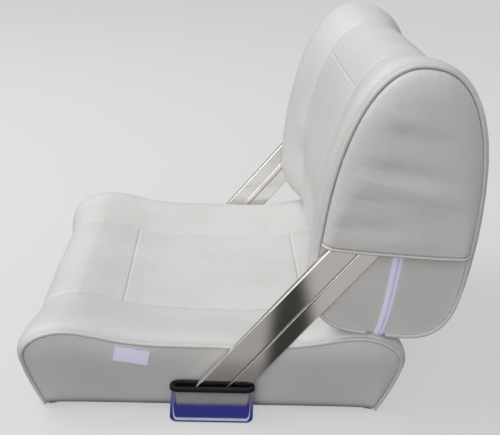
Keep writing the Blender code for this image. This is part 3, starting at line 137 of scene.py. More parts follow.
class Nodes:
    """The node tree of a material or a world, whose nodes all come from one method."""

    def __init__(self, owner):
        owner.use_nodes = True
        self.tree = owner.node_tree

    def put(self, target, value):
        """Put a number, a colour or a link on a socket."""
        if isinstance(value, Value):
            self.tree.links.new(value.socket, target)
        else:
            target.default_value = value

    def node(self, kind, settings=None, inputs=None, output=0):
        """Any node: its settings first, then its sockets' values or links."""
        made = self.tree.nodes.new(kind)
        for name, value in (settings or {}).items():
            setattr(made, name, value)
        for name, value in (inputs or {}).items():
            self.put(made.inputs[name], value)
        return Value(self, made.outputs[output])

    def map_range(self, inputs, curve="SMOOTHSTEP"):
        """One range of numbers laid on another, along an S curve or a straight line."""
        return self.node("ShaderNodeMapRange", {"interpolation_type": curve}, inputs)

    def place(self, kind="Object"):
        """Texture coordinates: Object, or UV where a pattern follows the surface."""
        return self.node("ShaderNodeTexCoord", output=kind)

    def ray_is(self, kind):
        """1 for rays of one kind, Camera or Glossy, and 0 for all others."""
        return self.node("ShaderNodeLightPath", output="Is " + kind + " Ray")

    def mapped(self, source, scale=(1, 1, 1), turn=(0, 0, 0)):
        return self.node("ShaderNodeMapping", {}, {"Vector": source, "Scale": scale,
                                                   "Rotation": turn})

    def noise(self, source, scale, detail=3.0, roughness=0.5, distortion=0.0):
        return self.node("ShaderNodeTexNoise", {}, {"Vector": source, "Scale": scale,
                                                    "Detail": detail, "Roughness": roughness,
                                                    "Distortion": distortion})

    def cells(self, source, scale):
        return self.node("ShaderNodeTexVoronoi", {}, {"Vector": source, "Scale": scale})

    def parts(self, source):
        """The three numbers of a vector."""
        split = self.node("ShaderNodeSeparateXYZ", {}, {0: source}).socket.node
        return [Value(self, socket) for socket in split.outputs]

    def blend(self, factor, low, high):
        """A colour between two others."""
        return self.node("ShaderNodeMix", {"data_type": "RGBA"}, {0: factor, 6: low, 7: high},
                         output=2)

    def ramp(self, place, stops):
        """Colours along a line from 0 to 1, as (place, (red, green, blue)) pairs."""
        made = self.node("ShaderNodeValToRGB", {}, {0: place})
        line = made.socket.node.color_ramp.elements
        while len(line) < len(stops):
            line.new(0.5)
        for element, (at, colour) in zip(line, stops):
            element.position = at
            element.color = tone(*colour)
        return made


class Finish(Nodes):
    """A material with a Principled shader: constants first, then whatever varies."""

    def __init__(self, name, colour, roughness, metallic=0.0, **constants):
        self.material = bpy.data.materials.new(name)
        super().__init__(self.material)
        self.shader = self.tree.nodes["Principled BSDF"]
        self.set("Base Color", colour)
        self.set("Roughness", roughness)
        self.set("Metallic", metallic)
        for socket, value in constants.items():
            self.set(socket.replace("_", " "), value)

    def set(self, socket, value):
        """Put a number, a colour or a link on one of the shader's own sockets."""
        self.put(self.shader.inputs[socket], value)

    def bump(self, height, distance):
        self.set("Normal", self.node("ShaderNodeBump", {}, {"Height": height,
                                                            "Distance": distance}))


def tone(red, green, blue):
    """A colour given as it would be read off a screen, 0 to 255, turned to linear light."""
    share = np.array([red, green, blue]) / 255
    linear = np.where(share <= 0.04045, share / 12.92, ((share + 0.055) / 1.055) ** 2.4)
    return (*(float(c) for c in linear), 1.0)


# %% [markdown]
# ## Marine vinyl
#
# The covers are off-white marine vinyl: a soft sheen, a fine pebbled grain and hair-thin creases
# where it is pulled over a curve. The grain is a Voronoi cell pattern about 0.8 mm wide, the
# creases come from stretched noise, and a slow noise shifts the colour by a hair, because a
# large pale surface of one exact colour looks like plastic. The flaps have a crackled spot where
# hands take hold. The seat's cover has painted shade along its foot: its colour darkens towards
# the bottom, where the cover turns under towards the floor.

# %% Vinyl
VINYL_LIGHT = tone(223, 223, 222)
VINYL_SHADE = tone(218, 217, 215)
# The colour of the painted shade along the seat cover's foot.
VINYL_FOOT_SHADE = tone(152, 150, 153)


def crackle(made, place, middle):
    """Hair-thin creases round a handled spot: noise lines that fade with distance from it.

    The spot is an ellipse that reaches 20 mm forwards and back and 39 mm up and down.
    """
    y, z = made.parts(place)[1:]
    rising = z - middle[1]
    leaning = (y - middle[0]) - rising * 0.15
    near = (1 - leaning * leaning * 2600.0 - rising * rising * 650.0).clamped()
    lines = made.noise(made.mapped(place, (1.0, 1.9, 1.0)), 130.0, 3.0, 0.5, 1.0)
    return (1 - abs(lines - 0.5) * 12.0).clamped() * near


def vinyl_finish(name, crease=1.0, crease_turn=(0, 0, 0), worn=None, foot_shade=None):
    """Pale vinyl: slow tint, sheen that varies a little, pebble grain and fine creases.

    Worn is the (y, z) middle of a crackled spot. The last argument is the pair of heights between
    which painted shade darkens the colour towards the cover's foot.
    """
    made = Finish(name, VINYL_LIGHT, 0.46, Specular_IOR_Level=0.28)
    place = made.place()
    slow = made.noise(place, 9.0, 3.0)
    colour = made.blend(slow.smooth(0.35, 0.65), VINYL_LIGHT, VINYL_SHADE)
    # Painted shade: the base colour darkens towards the cover's foot, below a slightly wavy line,
    # where the cover turns under towards the floor.
    if foot_shade:
        level = made.parts(place)[2] + (slow - 0.5) * 0.006
        colour = made.blend(level.smooth(*foot_shade), VINYL_FOOT_SHADE, colour)
    made.set("Base Color", colour)
    made.set("Roughness", made.noise(place, 60.0, 2.0) * 0.10 + 0.41)
    grain = made.cells(place, 1250.0)
    wrinkle_place = made.mapped(place, (1.0, 6.0, 6.0), crease_turn)
    wrinkle = made.noise(wrinkle_place, 16.0, 5.0, 0.62, 0.8)
    fine = (abs(wrinkle - 0.5) * 9.0).clamped()
    height = grain * 0.10 + fine * (0.55 * crease) + slow * 0.8
    if worn:
        height = height + crackle(made, place, worn) * 1.1
    made.bump(height, 0.00022)
    return made.material


seat_vinyl = vinyl_finish("seat_vinyl", crease=0.9, foot_shade=(-0.003, 0.013))
back_vinyl = vinyl_finish("back_vinyl", crease=0.9)
flap_vinyl = vinyl_finish("flap_vinyl", crease=1.6, crease_turn=(0, math.radians(90), 0),
                          worn=(0.194, 0.377))


def cord_finish(name):
    """The piping's vinyl strip: the same stuff, drawn tight, with faint rings along it."""
    made = Finish(name, VINYL_LIGHT, 0.42, Specular_IOR_Level=0.3)
    u, v = made.parts(made.place("UV"))[:2]
    rings = (u * 2600.0 + v * 40.0).sine()
    drift = made.noise(made.place(), 120.0, 2.0)
    made.set("Base Color", made.blend(drift, VINYL_SHADE, VINYL_LIGHT))
    made.bump(rings * drift * 0.5, 0.00012)
    return made.material


piping_vinyl = cord_finish("piping_vinyl")
print("vinyls", [stuff.name for stuff in (seat_vinyl, back_vinyl, flap_vinyl, piping_vinyl)])

# %% [markdown]
# ## Surfaces as functions
#
# Every soft piece is a grid of points worked out by a formula for whole arrays at once. One
# helper turns such a grid into a mesh, with UVs that run in metres along both directions, and
# can close it round either way.

# %% A mesh from a grid of points
def link(name, mesh, material, body, node_slot, *nodes, crisp=None):
    """Put a finished mesh in the scene as a piece that rides on a body and stands for nodes."""
    mesh.shade_smooth()
    if crisp:
        mesh.set_sharp_from_angle(angle=math.radians(crisp))
    mesh.materials.append(material)
    piece = bpy.data.objects.new(name, mesh)
    bpy.context.scene.collection.objects.link(piece)
    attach(piece, body)
    if nodes:
        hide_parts(*nodes)
    return piece


def travel(points, axis):
    """Mean distance travelled along one direction of a grid, one value for each station."""
    steps = np.linalg.norm(np.diff(points, axis=axis), axis=2).mean(axis=1 - axis)
    return np.concatenate([[0], np.cumsum(steps), [steps.sum() + steps.mean()]])


def grid_mesh(name, points, close_u=False, close_v=False, caps=False, extra=None):
    """Quads between neighbouring rows and columns of an (n, m, 3) array.

    Vertex (i, j) has number i * m + j, and a quad joins (i, j), (i+1, j), (i+1, j+1), (i, j+1).
    Caps close the first and last row with one face each. Extra adds points and quads of its own.
    """
    n, m = points.shape[:2]
    i, j = np.meshgrid(np.arange(n if close_u else n - 1), np.arange(m if close_v else m - 1),
                       indexing="ij")
    i2, j2 = (i + 1) % n, (j + 1) % m
    quads = np.stack([i * m + j, i2 * m + j, i2 * m + j2, i * m + j2], axis=-1).reshape(-1, 4)
    vertices = points.reshape(-1, 3)
    faces = quads.tolist()
    if extra:
        vertices = np.vstack([vertices, extra[0]])
        faces += extra[1].tolist()
    if caps:
        first = np.arange(m)
        faces += [first[::-1].tolist(), (first + (n - 1) * m).tolist()]
    mesh = bpy.data.meshes.new(name)
    mesh.from_pydata(vertices.tolist(), [], faces)
    along_u, along_v = travel(points, 0), travel(points, 1)
    corners = np.stack([np.stack([along_u[i], along_u[i + 1], along_u[i + 1], along_u[i]], -1),
                        np.stack([along_v[j], along_v[j], along_v[j + 1], along_v[j + 1]], -1)],
                       axis=-1).reshape(-1, 2)
    uv = np.zeros((len(mesh.loops), 2), dtype=np.float32)
    uv[:len(corners)] = corners
    mesh.uv_layers.new(name="UVMap").data.foreach_set("uv", uv.ravel())
    return mesh


def face_out(mesh, inside):
    """Flip a sheet's faces if most of them look towards a point inside it."""
    count = len(mesh.polygons)
    normals, centres, areas = np.zeros(count * 3), np.zeros(count * 3), np.zeros(count)
    mesh.polygons.foreach_get("normal", normals)
    mesh.polygons.foreach_get("center", centres)
    mesh.polygons.foreach_get("area", areas)
    away = (centres.reshape(-1, 3) - np.array(inside)) * normals.reshape(-1, 3)
    if (away.sum(axis=1) * areas).sum() < 0:
        mesh.flip_normals()
    return mesh


def tidy_closed(mesh, distance=0.00002):
    """Merge doubled points of a closed mesh and point all its faces outwards."""
    body = bmesh.new()
    body.from_mesh(mesh)
    bmesh.ops.remove_doubles(body, verts=body.verts, dist=distance)
    bmesh.ops.recalc_face_normals(body, faces=body.faces)
    body.to_mesh(mesh)
    body.free()
    return mesh


def wall(piece, thickness):
    """Give a sheet its thickness, on the inner side."""
    step = piece.modifiers.new("thickness", "SOLIDIFY")
    step.thickness = thickness
    step.offset = -1


def unit(vectors):
    return vectors / np.maximum(np.linalg.norm(vectors, axis=-1, keepdims=True), 1e-12)


def dome(share, power=2):
    """1 in a panel's middle and 0 at its edge: sqrt(1 - s^power)."""
    return np.sqrt(np.clip(1 - share ** power, 0, 1))


def hump(share):
    """0 at both ends of a span and 1 in its middle: 4 s (1 - s)."""
    return np.clip(4 * share * (1 - share), 0, 1)


def eased(share):
    """An S curve from 0 to 1: 3 s^2 - 2 s^3."""
    share = np.clip(share, 0, 1)
    return share ** 2 * (3 - 2 * share)


def points_of(x, y, z):
    """One grid of points from three arrays whose shapes fit together."""
    return np.stack(np.broadcast_arrays(x, y, z), axis=-1)


def length_of(line):
    return travel(line[:, None], 0)[-2]


def about_x(angle):
    """The matrix of a turn about the sideways axis."""
    return np.array(Matrix.Rotation(angle, 3, "X"))


def resampled(line, stations):
    """Points of a line at given shares of its length."""
    steps = np.linalg.norm(np.diff(line, axis=0), axis=1)
    run = np.concatenate([[0], np.cumsum(steps)])
    return np.stack([np.interp(np.asarray(stations) * run[-1], run, line[:, k])
                     for k in range(line.shape[1])], axis=1)


def length_share(line, index):
    """How far along a line one of its points lies, as a share of its length."""
    steps = np.linalg.norm(np.diff(line, axis=0), axis=1)
    return float(steps[:index].sum() / steps.sum())


def spread(anchors, counts, pull=0.65):
    """Stations that close up towards each anchor, by a cosine between neighbouring ones."""
    parts = []
    for low, high, count in zip(anchors, anchors[1:], counts):
        even = np.linspace(0, 1, count + 1)
        swing = pull * (1 - np.cos(np.pi * even)) / 2 + (1 - pull) * even
        parts.append(low + (high - low) * swing[:-1])
    return np.concatenate(parts + [anchors[-1:]])


def mirrored(rows):
    """A left half and its mirror image, as one run of rows from left to right."""
    return np.concatenate([rows, (rows * (-1, 1, 1))[-2::-1]], axis=0)


def seam_dent(distance, depth, width, lip=0.0, lip_at=0.0030):
    """A sewn seam's profile: a narrow dip, and a low ridge of folded vinyl on one side."""
    ridge = lip * np.exp(-((distance - lip_at) / (0.8 * width)) ** 2)
    return ridge - depth * np.exp(-np.abs(distance / width) ** 1.3)


def band_swell(share):
    """A side band's swell: a gentle rise from its seam (0) and a steep drop to its piping (1)."""
    return 1.44 * share * dome(share, 6)


def ripple(place, lengths, seed):
    """A sum of sine waves of given lengths, each with its own phase, of about unit height."""
    phases = np.random.default_rng(seed).uniform(0, 2 * np.pi, len(lengths))
    waves = [np.sin(place * 2 * np.pi / length + phase) for length, phase in zip(lengths, phases)]
    return sum(waves) / math.sqrt(len(lengths))


def gathers(along, from_seam, seed, depth=0.00022, reach=0.010):
    """Small puckers that the stitching pulls into vinyl, dying away from the seam."""
    waves = ripple(along, (0.0087, 0.0131, 0.0193, 0.0310), seed)
    return depth * waves * np.exp(-np.abs(from_seam) / reach)


def slow_waves(u, v, seed, height=0.0004):
    """Broad, low unevenness of stuffed vinyl: six plane waves 90 to 260 mm long."""
    source = np.random.default_rng(seed)
    total = 0
    for length, turn, phase in source.uniform((0.09, 0, 0), (0.26, np.pi, 2 * np.pi), (6, 3)):
        total = total + np.sin((u * np.cos(turn) + v * np.sin(turn)) * 2 * np.pi / length + phase)
    return height * total / 2.4


# %% [markdown]
# ## Seat cushion
#
# The seat's top is one smooth wave, front to rear: a lobe, a dish and a lobe, the same both
# ways, because the back flips over it. Across, two side bands swell like pillows between the
# piping and their seams, and the middle panels lie lower. A band's swell, s sqrt(1 - s^6), rises
# gently from its seam and drops steeply at the piping, as stuffed vinyl does at a sewn edge. The
# middle is a low ellipse from seam to seam.

# %% The seat's side view
COVER_BASE = -0.0024
COVER_THICKNESS = 0.0015
SEAT_HALF_LENGTH, SEAT_NOSE = 0.235, 0.069
LOBE_REACH, LOBE_HEIGHT, MID_HEIGHT = 0.180, 0.1065, 0.0905
FOOT_HALF_LENGTH, FOOT_HALF_WIDTH, TOP_HALF_WIDTH = 0.2095, 0.240, 0.255
SEAT_SEAM_X, INSERT_SEAM_Y = 0.132, 0.121
FOOT_ROUND, FOOT_INSET = 0.0100, 0.0072
CHEEK_PUFF, CHEEK_POWER, CHEEK_EASE = 0.0055, 0.9, 0.25
PANEL_INSET, CHEEK_INSET = 0.0022, 0.0026

# How high the bands and the middle swell, and how much lower the middle lies.
SEAT_SWELL, SEAT_CROWN, SEAT_DROP, SEAT_SCOOP = 0.0090, 0.0034, 0.0044, 0.0057
INSERT_CROWN = 0.0012

# Seams: depth and width of the dent, height of the lip beside it, and the lip's place.
BAND_SEAM, INSERT_SEAM = (0.0017, 0.0008, 0.0003, -0.0030), (0.0017, 0.0008, 0.0002)
BACK_BAND_SEAM, BACK_INSERT_SEAM = (0.0015, 0.0009, 0.0003), (0.0012, 0.0008, 0.0001)

# The insert's seams are looked for on the top only, this many points from either end.
TOP_START = 300


def seat_side_view():
    """(reach, height) from the front foot over the top to the rear foot.

    Dish: height = mid + (lobe - mid) (1 - cos(pi s)) / 2 with s = (|y| / lobe reach) ^ 2.2.
    Nose: a quarter ellipse from the lobe's top to the nose. Undercut: reach falls with the
    1.6th power of the drop below the nose.
    """
    reach = np.linspace(0, LOBE_REACH, 400)
    swing = (1 - np.cos(np.pi * (reach / LOBE_REACH) ** 2.2)) / 2
    dish = np.stack([reach, MID_HEIGHT + (LOBE_HEIGHT - MID_HEIGHT) * swing], axis=1)
    angle = np.linspace(np.pi / 2, 0, 200)[1:]
    nose = np.stack([LOBE_REACH + (SEAT_HALF_LENGTH - LOBE_REACH) * np.cos(angle),
                     SEAT_NOSE + (LOBE_HEIGHT - SEAT_NOSE) * np.sin(angle)], axis=1)
    share = np.linspace(0, 1, 200)[1:]
    under = np.stack([SEAT_HALF_LENGTH - (SEAT_HALF_LENGTH - FOOT_HALF_LENGTH) * share ** 1.6,
                      SEAT_NOSE - (SEAT_NOSE - COVER_BASE) * share], axis=1)
    half = np.vstack([dish, nose, under])
    return np.vstack([half[:0:-1] * (-1, 1), half])


def outward(line, closed=False):
    """Unit normals of a side view that runs front, top, rear."""
    if closed:
        along = np.roll(line, -1, axis=0) - np.roll(line, 1, axis=0)
    else:
        along = np.gradient(line, axis=0)
    return unit(np.stack([-along[:, 1], along[:, 0]], axis=1))


def cheek_x(height):
    """Half width of the seat at a height: drawn in to the board at its foot.

    The width grows with the square of the height up to the dish and stays there. That rule is
    averaged over a short stretch of height, so no line shows where the two parts meet.
    """
    def area(share):
        return np.clip(share, 0, 1) ** 3 / 3 + np.maximum(share - 1, 0)
    share = height / MID_HEIGHT
    mean = (area(share + CHEEK_EASE) - area(share - CHEEK_EASE)) / (2 * CHEEK_EASE)
    return FOOT_HALF_WIDTH + (TOP_HALF_WIDTH - FOOT_HALF_WIDTH) * mean


seat_line = seat_side_view()
seam_marks = [int(np.argmin(np.abs(seat_line[TOP_START:-TOP_START, 0] - y))) + TOP_START
              for y in (-INSERT_SEAM_Y, INSERT_SEAM_Y)]
insert_at = [length_share(seat_line, mark) for mark in seam_marks]
seat_stations = spread(np.array([0.0, *insert_at, 1.0]), (64, 72, 64))
seat_outline = resampled(seat_line, seat_stations)
seat_normals = outward(seat_outline)
seat_run = (seat_stations * length_of(seat_line))[None, :]
print("seat wrap is", round(1000 * length_of(seat_line)), "mm long")


# %% [markdown]
# The wrap and the two cheeks are one skin, sewn together under the piping. The grid runs from
# the left cheek's foot up to the piping, across the wrap, and down the right cheek, so that the
# whole cover is a single sheet with its lower edge turned in under the board.

# %% The seat's skin
def seat_wrap(shares, band):
    """Rows of the wrap: a side band (share 1 at the piping) or the middle (share 1 at the seam).

    A point is its place on the side view, moved out along the normal by the panel's swell: the
    band's swell curve on a band, SEAT_CROWN sqrt(1 - t^2) in the middle, less SEAT_DROP there.
    The scoop lowers the dish a little more, most of all half way from front to rear.
    """
    t = np.asarray(shares)[:, None]
    reach, height = seat_outline[None, :, 0], seat_outline[None, :, 1]
    side, rise = seat_normals[None, :, 0], seat_normals[None, :, 1]
    edge = cheek_x(height) - PANEL_INSET
    top = np.maximum(rise, 0) * np.maximum(0, 1 - np.abs(reach) / LOBE_REACH) ** 0.5
    on_top = height > SEAT_NOSE
    if band:
        across = SEAT_SEAM_X + (edge - SEAT_SEAM_X) * t
        swell = SEAT_SWELL * band_swell(t) - SEAT_DROP * (1 - t)
        swell = swell + gathers(seat_run, edge - across, 3)
        scoop = SEAT_SCOOP * (1 - t)
    else:
        across = SEAT_SEAM_X * t + 0 * reach
        swell = SEAT_CROWN * dome(t) - SEAT_DROP
        panel = INSERT_CROWN * dome(np.abs(reach) / INSERT_SEAM_Y, 6)
        dent = seam_dent(np.abs(reach) - INSERT_SEAM_Y, *INSERT_SEAM)
        swell = swell + (panel + dent) * on_top
        scoop = SEAT_SCOOP
    swell = swell + seam_dent(across - SEAT_SEAM_X, *BAND_SEAM)
    swell = swell + gathers(seat_run, across - SEAT_SEAM_X, 5, 0.00016, 0.008)
    swell = swell + slow_waves(across, seat_run, 7)
    swell = swell * np.sqrt(np.clip((height - COVER_BASE) / SEAT_NOSE, 0, 1))
    return points_of(across, reach + swell * side, height + swell * rise - scoop * top)


def rounded_foot(points):
    """Roll the cover's lowest rim in under the board's rounded edge, by a quarter ellipse."""
    drop = np.clip(1 - (points[..., 2] - COVER_BASE) / FOOT_ROUND, 0, 1)
    inset = FOOT_INSET * (1 - np.sqrt(1 - drop ** 2))
    half = np.abs(points[..., :2])
    side = half > np.array([FOOT_HALF_WIDTH, FOOT_HALF_LENGTH]) - 0.01
    points[..., :2] -= np.sign(points[..., :2]) * side * inset[..., None]
    return points


def seat_cheek(shares):
    """Rows of a cheek from its straight foot (share 0) up to the piping (share 1).

    A point lies between its place on the foot line and its place on the side view drawn in by
    the seam allowance, and the cheek swells a little between them.
    """
    t = np.asarray(shares)[:, None]
    foot_y = (2 * seat_stations - 1)[None, :] * (FOOT_HALF_LENGTH - 0.003)
    edge = seat_outline - CHEEK_INSET * seat_normals
    edge_y, edge_z = edge[None, :, 0], np.maximum(edge[None, :, 1], COVER_BASE)
    y = foot_y + (edge_y - foot_y) * t
    z = COVER_BASE + (edge_z - COVER_BASE) * t
    puff = CHEEK_PUFF * hump(t) ** CHEEK_POWER - 0.0012 * t ** 14
    puff = puff + gathers(seat_run, (1 - t) * 0.09, 9, 0.00018) * (t < 1)
    puff = puff + slow_waves(y, z, 11, 0.0003) * hump(t)
    return points_of(cheek_x(z) + puff, y, z)


def tucked_rim(points, inset):
    """The open edge of a grid, turned in by an inset: new points and the quads that join them."""
    n, m = points.shape[:2]
    loop = np.concatenate([np.arange(m), np.arange(1, n) * m + m - 1,
                           (n - 1) * m + np.arange(m - 2, -1, -1), np.arange(n - 2, 0, -1) * m])
    rim = points.reshape(-1, 3)[loop]
    half = np.abs(rim[:, :2]).max(axis=0)
    inner = rim * np.array([*((half - inset) / half), 1])
    k = np.arange(len(loop))
    follow = (k + 1) % len(loop)
    start = n * m
    return inner, np.stack([loop[k], start + k, start + follow, loop[follow]], axis=-1)


RIM_TUCK = 0.026
band_shares = (1 + np.cos(np.linspace(0, np.pi, 31))) / 2
middle_shares = np.cos(np.linspace(0, np.pi / 2, 29))[1:]
cheek_shares = (1 - np.cos(np.linspace(0, np.pi, 27))) / 2
seat_points = mirrored(np.concatenate([seat_cheek(cheek_shares), seat_wrap(band_shares, True),
                                       seat_wrap(middle_shares, False)]))
seat_points = rounded_foot(seat_points)
seat_mesh = grid_mesh("seat_skin", seat_points, extra=tucked_rim(seat_points, RIM_TUCK))
seat_skin = link("seat_skin", face_out(seat_mesh, (0, 0, 0.04)), seat_vinyl, "seat", "vinyl",
                 "seat_cover")
wall(seat_skin, COVER_THICKNESS)
print("seat skin", seat_points.shape)

# %% [markdown]
# ## Piping
#
# Piping is a cord wrapped in a strip of vinyl and sewn into the seam between two panels. Real
# piping is a tube with a flat flange that vanishes into the seam. A curve with a round bevel
# would do, but a profile carried along the path gives UVs in metres, so faint rings can follow
# the cord round its corners.

# %% A profile carried along a path
def directions(path, reference):
    """Unit vectors across a path, near a reference direction, and outwards from it."""
    along = unit(np.gradient(path, axis=0))
    across = np.broadcast_to(np.asarray(reference, dtype=float), path.shape)
    across = unit(across - (across * along).sum(axis=1, keepdims=True) * along)
    return across, np.cross(along, across)


def swept(path, profile, reference):
    """Rings of an (a, b) profile: path + a * across + b * outwards at each point."""
    across, out = directions(path, reference)
    profile = np.asarray(profile)
    return (path[:, None] + profile[None, :, 0, None] * across[:, None]
            + profile[None, :, 1, None] * out[:, None])


def round_profile(radius, sides=14):
    angle = np.linspace(0, 2 * np.pi, sides, endpoint=False)
    return np.stack([radius * np.cos(angle), radius * np.sin(angle)], axis=1)


def cord(name, path, radius, body, *nodes):
    """A round cord with closed ends, in the piping's vinyl."""
    mesh = grid_mesh(name, swept(path, round_profile(radius), (1, 0, 0)), close_v=True, caps=True)
    return link(name, tidy_closed(mesh), piping_vinyl, body, "piping_vinyl", *nodes)


SIDES = (("left", 1), ("right", -1))
PIPING_RADIUS = 0.0024
PIPING_SEAT = -0.0001

edge = seat_outline + PIPING_SEAT * seat_normals
for label, sign in SIDES:
    x = sign * (cheek_x(seat_outline[:, 1]) + PIPING_SEAT)
    cord("seat_cord_" + label, np.column_stack([x, edge]), PIPING_RADIUS, "seat",
         "seat_piping_" + label)
print("seat cords follow", len(edge), "stations of the side view")

# %% [markdown]
# ## Back cushion
#
# The back is a tall cushion with the same panels on both faces. Its side view is two half
# superellipses that meet at the waist, fuller below than above. A superellipse gives the real
# cushion's squarish shoulders with one number for each half.

# %% The back's side view
SHAFT_PLACE = np.array([0.0, 0.217105, 0.295102])
BACK_TILT = math.radians(5.7)
BACK_HALF_DEPTH, BACK_WAIST = 0.0905, 0.065
BACK_TOP, BACK_BOTTOM = 0.1495, 0.1816
TOP_ROUNDNESS, BOTTOM_ROUNDNESS = 2.34, 3.75
BACK_HALF_WIDTH, BACK_SEAM_X = 0.255, 0.130
BACK_SWELL, BACK_CROWN, BACK_DROP, BACK_SCOOP = 0.0108, 0.003, 0.009, 0.0095
HOLE_RADIUS = 0.018


def on_back(points):
    """Points of the back, given from the cross shaft with the cushion upright, in their place."""
    return points @ about_x(-BACK_TILT).T + SHAFT_PLACE


def back_point(angle):
    """A point of the side view: p = -depth |cos|^(2/n), q = -waist + height |sin|^(2/n)."""
    above = np.sin(angle) >= 0
    power = np.where(above, 2 / TOP_ROUNDNESS, 2 / BOTTOM_ROUNDNESS)
    height = np.where(above, BACK_TOP + BACK_WAIST, BACK_BOTTOM - BACK_WAIST)
    across = np.sign(np.cos(angle)) * np.abs(np.cos(angle)) ** power
    up = np.sign(np.sin(angle)) * np.abs(np.sin(angle)) ** power
    return np.stack([-BACK_HALF_DEPTH * across, -BACK_WAIST + height * up], axis=-1)


back_line = back_point(np.linspace(0, 2 * np.pi, 4001))
back_girth = length_of(back_line)
seam_shares = [length_share(back_line, mark) for mark in (500, 1500)]
back_stations = spread(np.array([0.0, *seam_shares, 1.0]), (44, 88, 150))[:-1]
back_outline = resampled(back_line, back_stations)
back_normals = outward(back_outline, closed=True)
seam_distance = back_girth * np.min([np.abs(back_stations - s) for s in seam_shares], axis=0)
back_run = (back_stations * back_girth)[None, :]
print("back wrap is", round(1000 * back_girth), "mm round")


# %% [markdown]
# The back's skin runs from the shaft's hole in the left cheek out to the piping, across the two
# bands and the middle, and in again to the hole in the right cheek. Under the cushion the panels
# are pulled flat by the zip, so their swell fades there.

# %% The back's skin
def back_wrap(shares, band):
    """Rows of the back's wrap, as for the seat's, all the way round the side view.

    The bands are firmer, so they swell less, under the cushion and over its top. The scoop draws
    both faces in below the waist.
    """
    t = np.asarray(shares)[:, None]
    across, up = back_outline[None, :, 0], back_outline[None, :, 1]
    side, rise = back_normals[None, :, 0], back_normals[None, :, 1]
    firm = 1 - 0.85 * np.maximum(0, -rise)
    firm = firm - 0.5 * np.maximum(0, rise) ** 1.5 * np.clip(side + 0.7, 0, 1)
    scoop = BACK_SCOOP * eased((-up - 0.03) / 0.07) * np.abs(side)
    if band:
        x = BACK_SEAM_X + (BACK_HALF_WIDTH - PANEL_INSET - BACK_SEAM_X) * t + 0 * across
        swell = BACK_SWELL * firm * band_swell(t) - (BACK_DROP + scoop) * (1 - t)
        swell = swell + gathers(back_run, BACK_HALF_WIDTH - x, 13)
    else:
        x = BACK_SEAM_X * t + 0 * across
        swell = BACK_CROWN * dome(t) - BACK_DROP - scoop
        swell = swell + seam_dent(seam_distance[None, :], *BACK_INSERT_SEAM)
    swell = swell + seam_dent(x - BACK_SEAM_X, *BACK_BAND_SEAM)
    swell = swell + gathers(back_run, x - BACK_SEAM_X, 17, 0.00016, 0.008)
    swell = swell + slow_waves(x, back_run, 19)
    return points_of(x, across + swell * side, up + swell * rise)


def fold(p, q, middle, length, width, slant, height):
    """One soft fold: a ridge or valley that fades along its length and across its width."""
    across = (q - middle[1]) * math.cos(slant) - (p - middle[0]) * math.sin(slant)
    along = (p - middle[0]) * math.cos(slant) + (q - middle[1]) * math.sin(slant)
    return height * np.exp(-(across / width) ** 2 - (along / length) ** 2)


# Each fold: its middle (p, q), length, width, slant and height.
CHEEK_SWELLS = (((-0.045, -0.125), 0.030, 0.020, -0.60, 0.0018),
                ((0.052, -0.100), 0.034, 0.018, 0.50, 0.0009))


def back_cheek(shares):
    """Rings of a cheek from the shaft's hole (share 0) out to the piping (share 1).

    A soft swell stands to each side of the zip, clear of the arms.
    """
    t = np.asarray(shares)[:, None]
    edge = back_outline - CHEEK_INSET * back_normals
    hole = edge * (HOLE_RADIUS / np.linalg.norm(edge, axis=1, keepdims=True))
    puff = 0.0022 * dome(t) - 0.0010 * t ** 20
    puff = puff + gathers(back_run, (1 - t) * 0.15, 23, 0.00018) * (t < 1)
    p = hole[None, :, 0] + (edge - hole)[None, :, 0] * t
    q = hole[None, :, 1] + (edge - hole)[None, :, 1] * t
    soft = sum(fold(p, q, *each) for each in CHEEK_SWELLS) + slow_waves(p, q, 17, 0.0004)
    puff = puff + soft * hump(t) - 0.0012 * t ** 7 * (1 - t ** 20)
    return points_of(BACK_HALF_WIDTH - 0.0004 + puff, p, q)


back_cheek_shares = np.sin(np.linspace(0, np.pi / 2, 24))
back_points = mirrored(np.concatenate([back_cheek(back_cheek_shares), back_wrap(band_shares, True),
                                       back_wrap(middle_shares, False)]))
back_mesh = grid_mesh("back_skin", on_back(back_points), close_v=True)
back_skin = link("back_skin", face_out(back_mesh, SHAFT_PLACE), back_vinyl, "back", "vinyl",
                 "back_cover")
wall(back_skin, COVER_THICKNESS)
print("back skin", back_points.shape)

# %% [markdown]
# The back's two cords run round the whole side view and stop on either side of the zip's path.

# %% The back's piping
PIPING_NOTCH = 0.009
lowest = int(np.argmin(back_outline[:, 1]))
round_order = (lowest + np.arange(len(back_outline))) % len(back_outline)
ring = (back_outline + PIPING_SEAT * back_normals)[round_order]
ring = ring[~((np.abs(ring[:, 0]) < PIPING_NOTCH) & (ring[:, 1] < 0))]

for label, sign in SIDES:
    path = np.column_stack([np.full(len(ring), sign * (BACK_HALF_WIDTH + PIPING_SEAT)), ring])
    cord("back_cord_" + label, on_back(path), PIPING_RADIUS, "back", "back_piping_" + label)
print("back cords are", round(1000 * length_of(ring)), "mm long")

# %% [markdown]
# ## Side flaps
#
# A flap hides each arm's upper end. It is sewn in along the piping, stands off the cheek far
# enough to cover the arm, and ends in a corded hem. The cut piece is a D shape. A fan of rows
# towards one point would crowd its middle with slivers, so the field is a Coons patch instead:
# four boundary curves blended into an even grid, with a rounded rim of rows round three sides.

# %% The flap's outline
FLAP_THICKNESS, FLAP_OUTER_X = 0.002, 0.2725
FLAP_ROUND, FLAP_TOP_ROUND = 0.012, 0.045
FLAP_EDGE_INSET, FLAP_LIFT = 0.0030, 0.0012
HEM_HEIGHT, HEM_RISE, HEM_SKEW, HEM_RADIUS = 0.0676, 0.0025, 0.0040, 0.0019
FLAP_SIDE, RIM_ROWS, HEM_START = 64, 15, 3


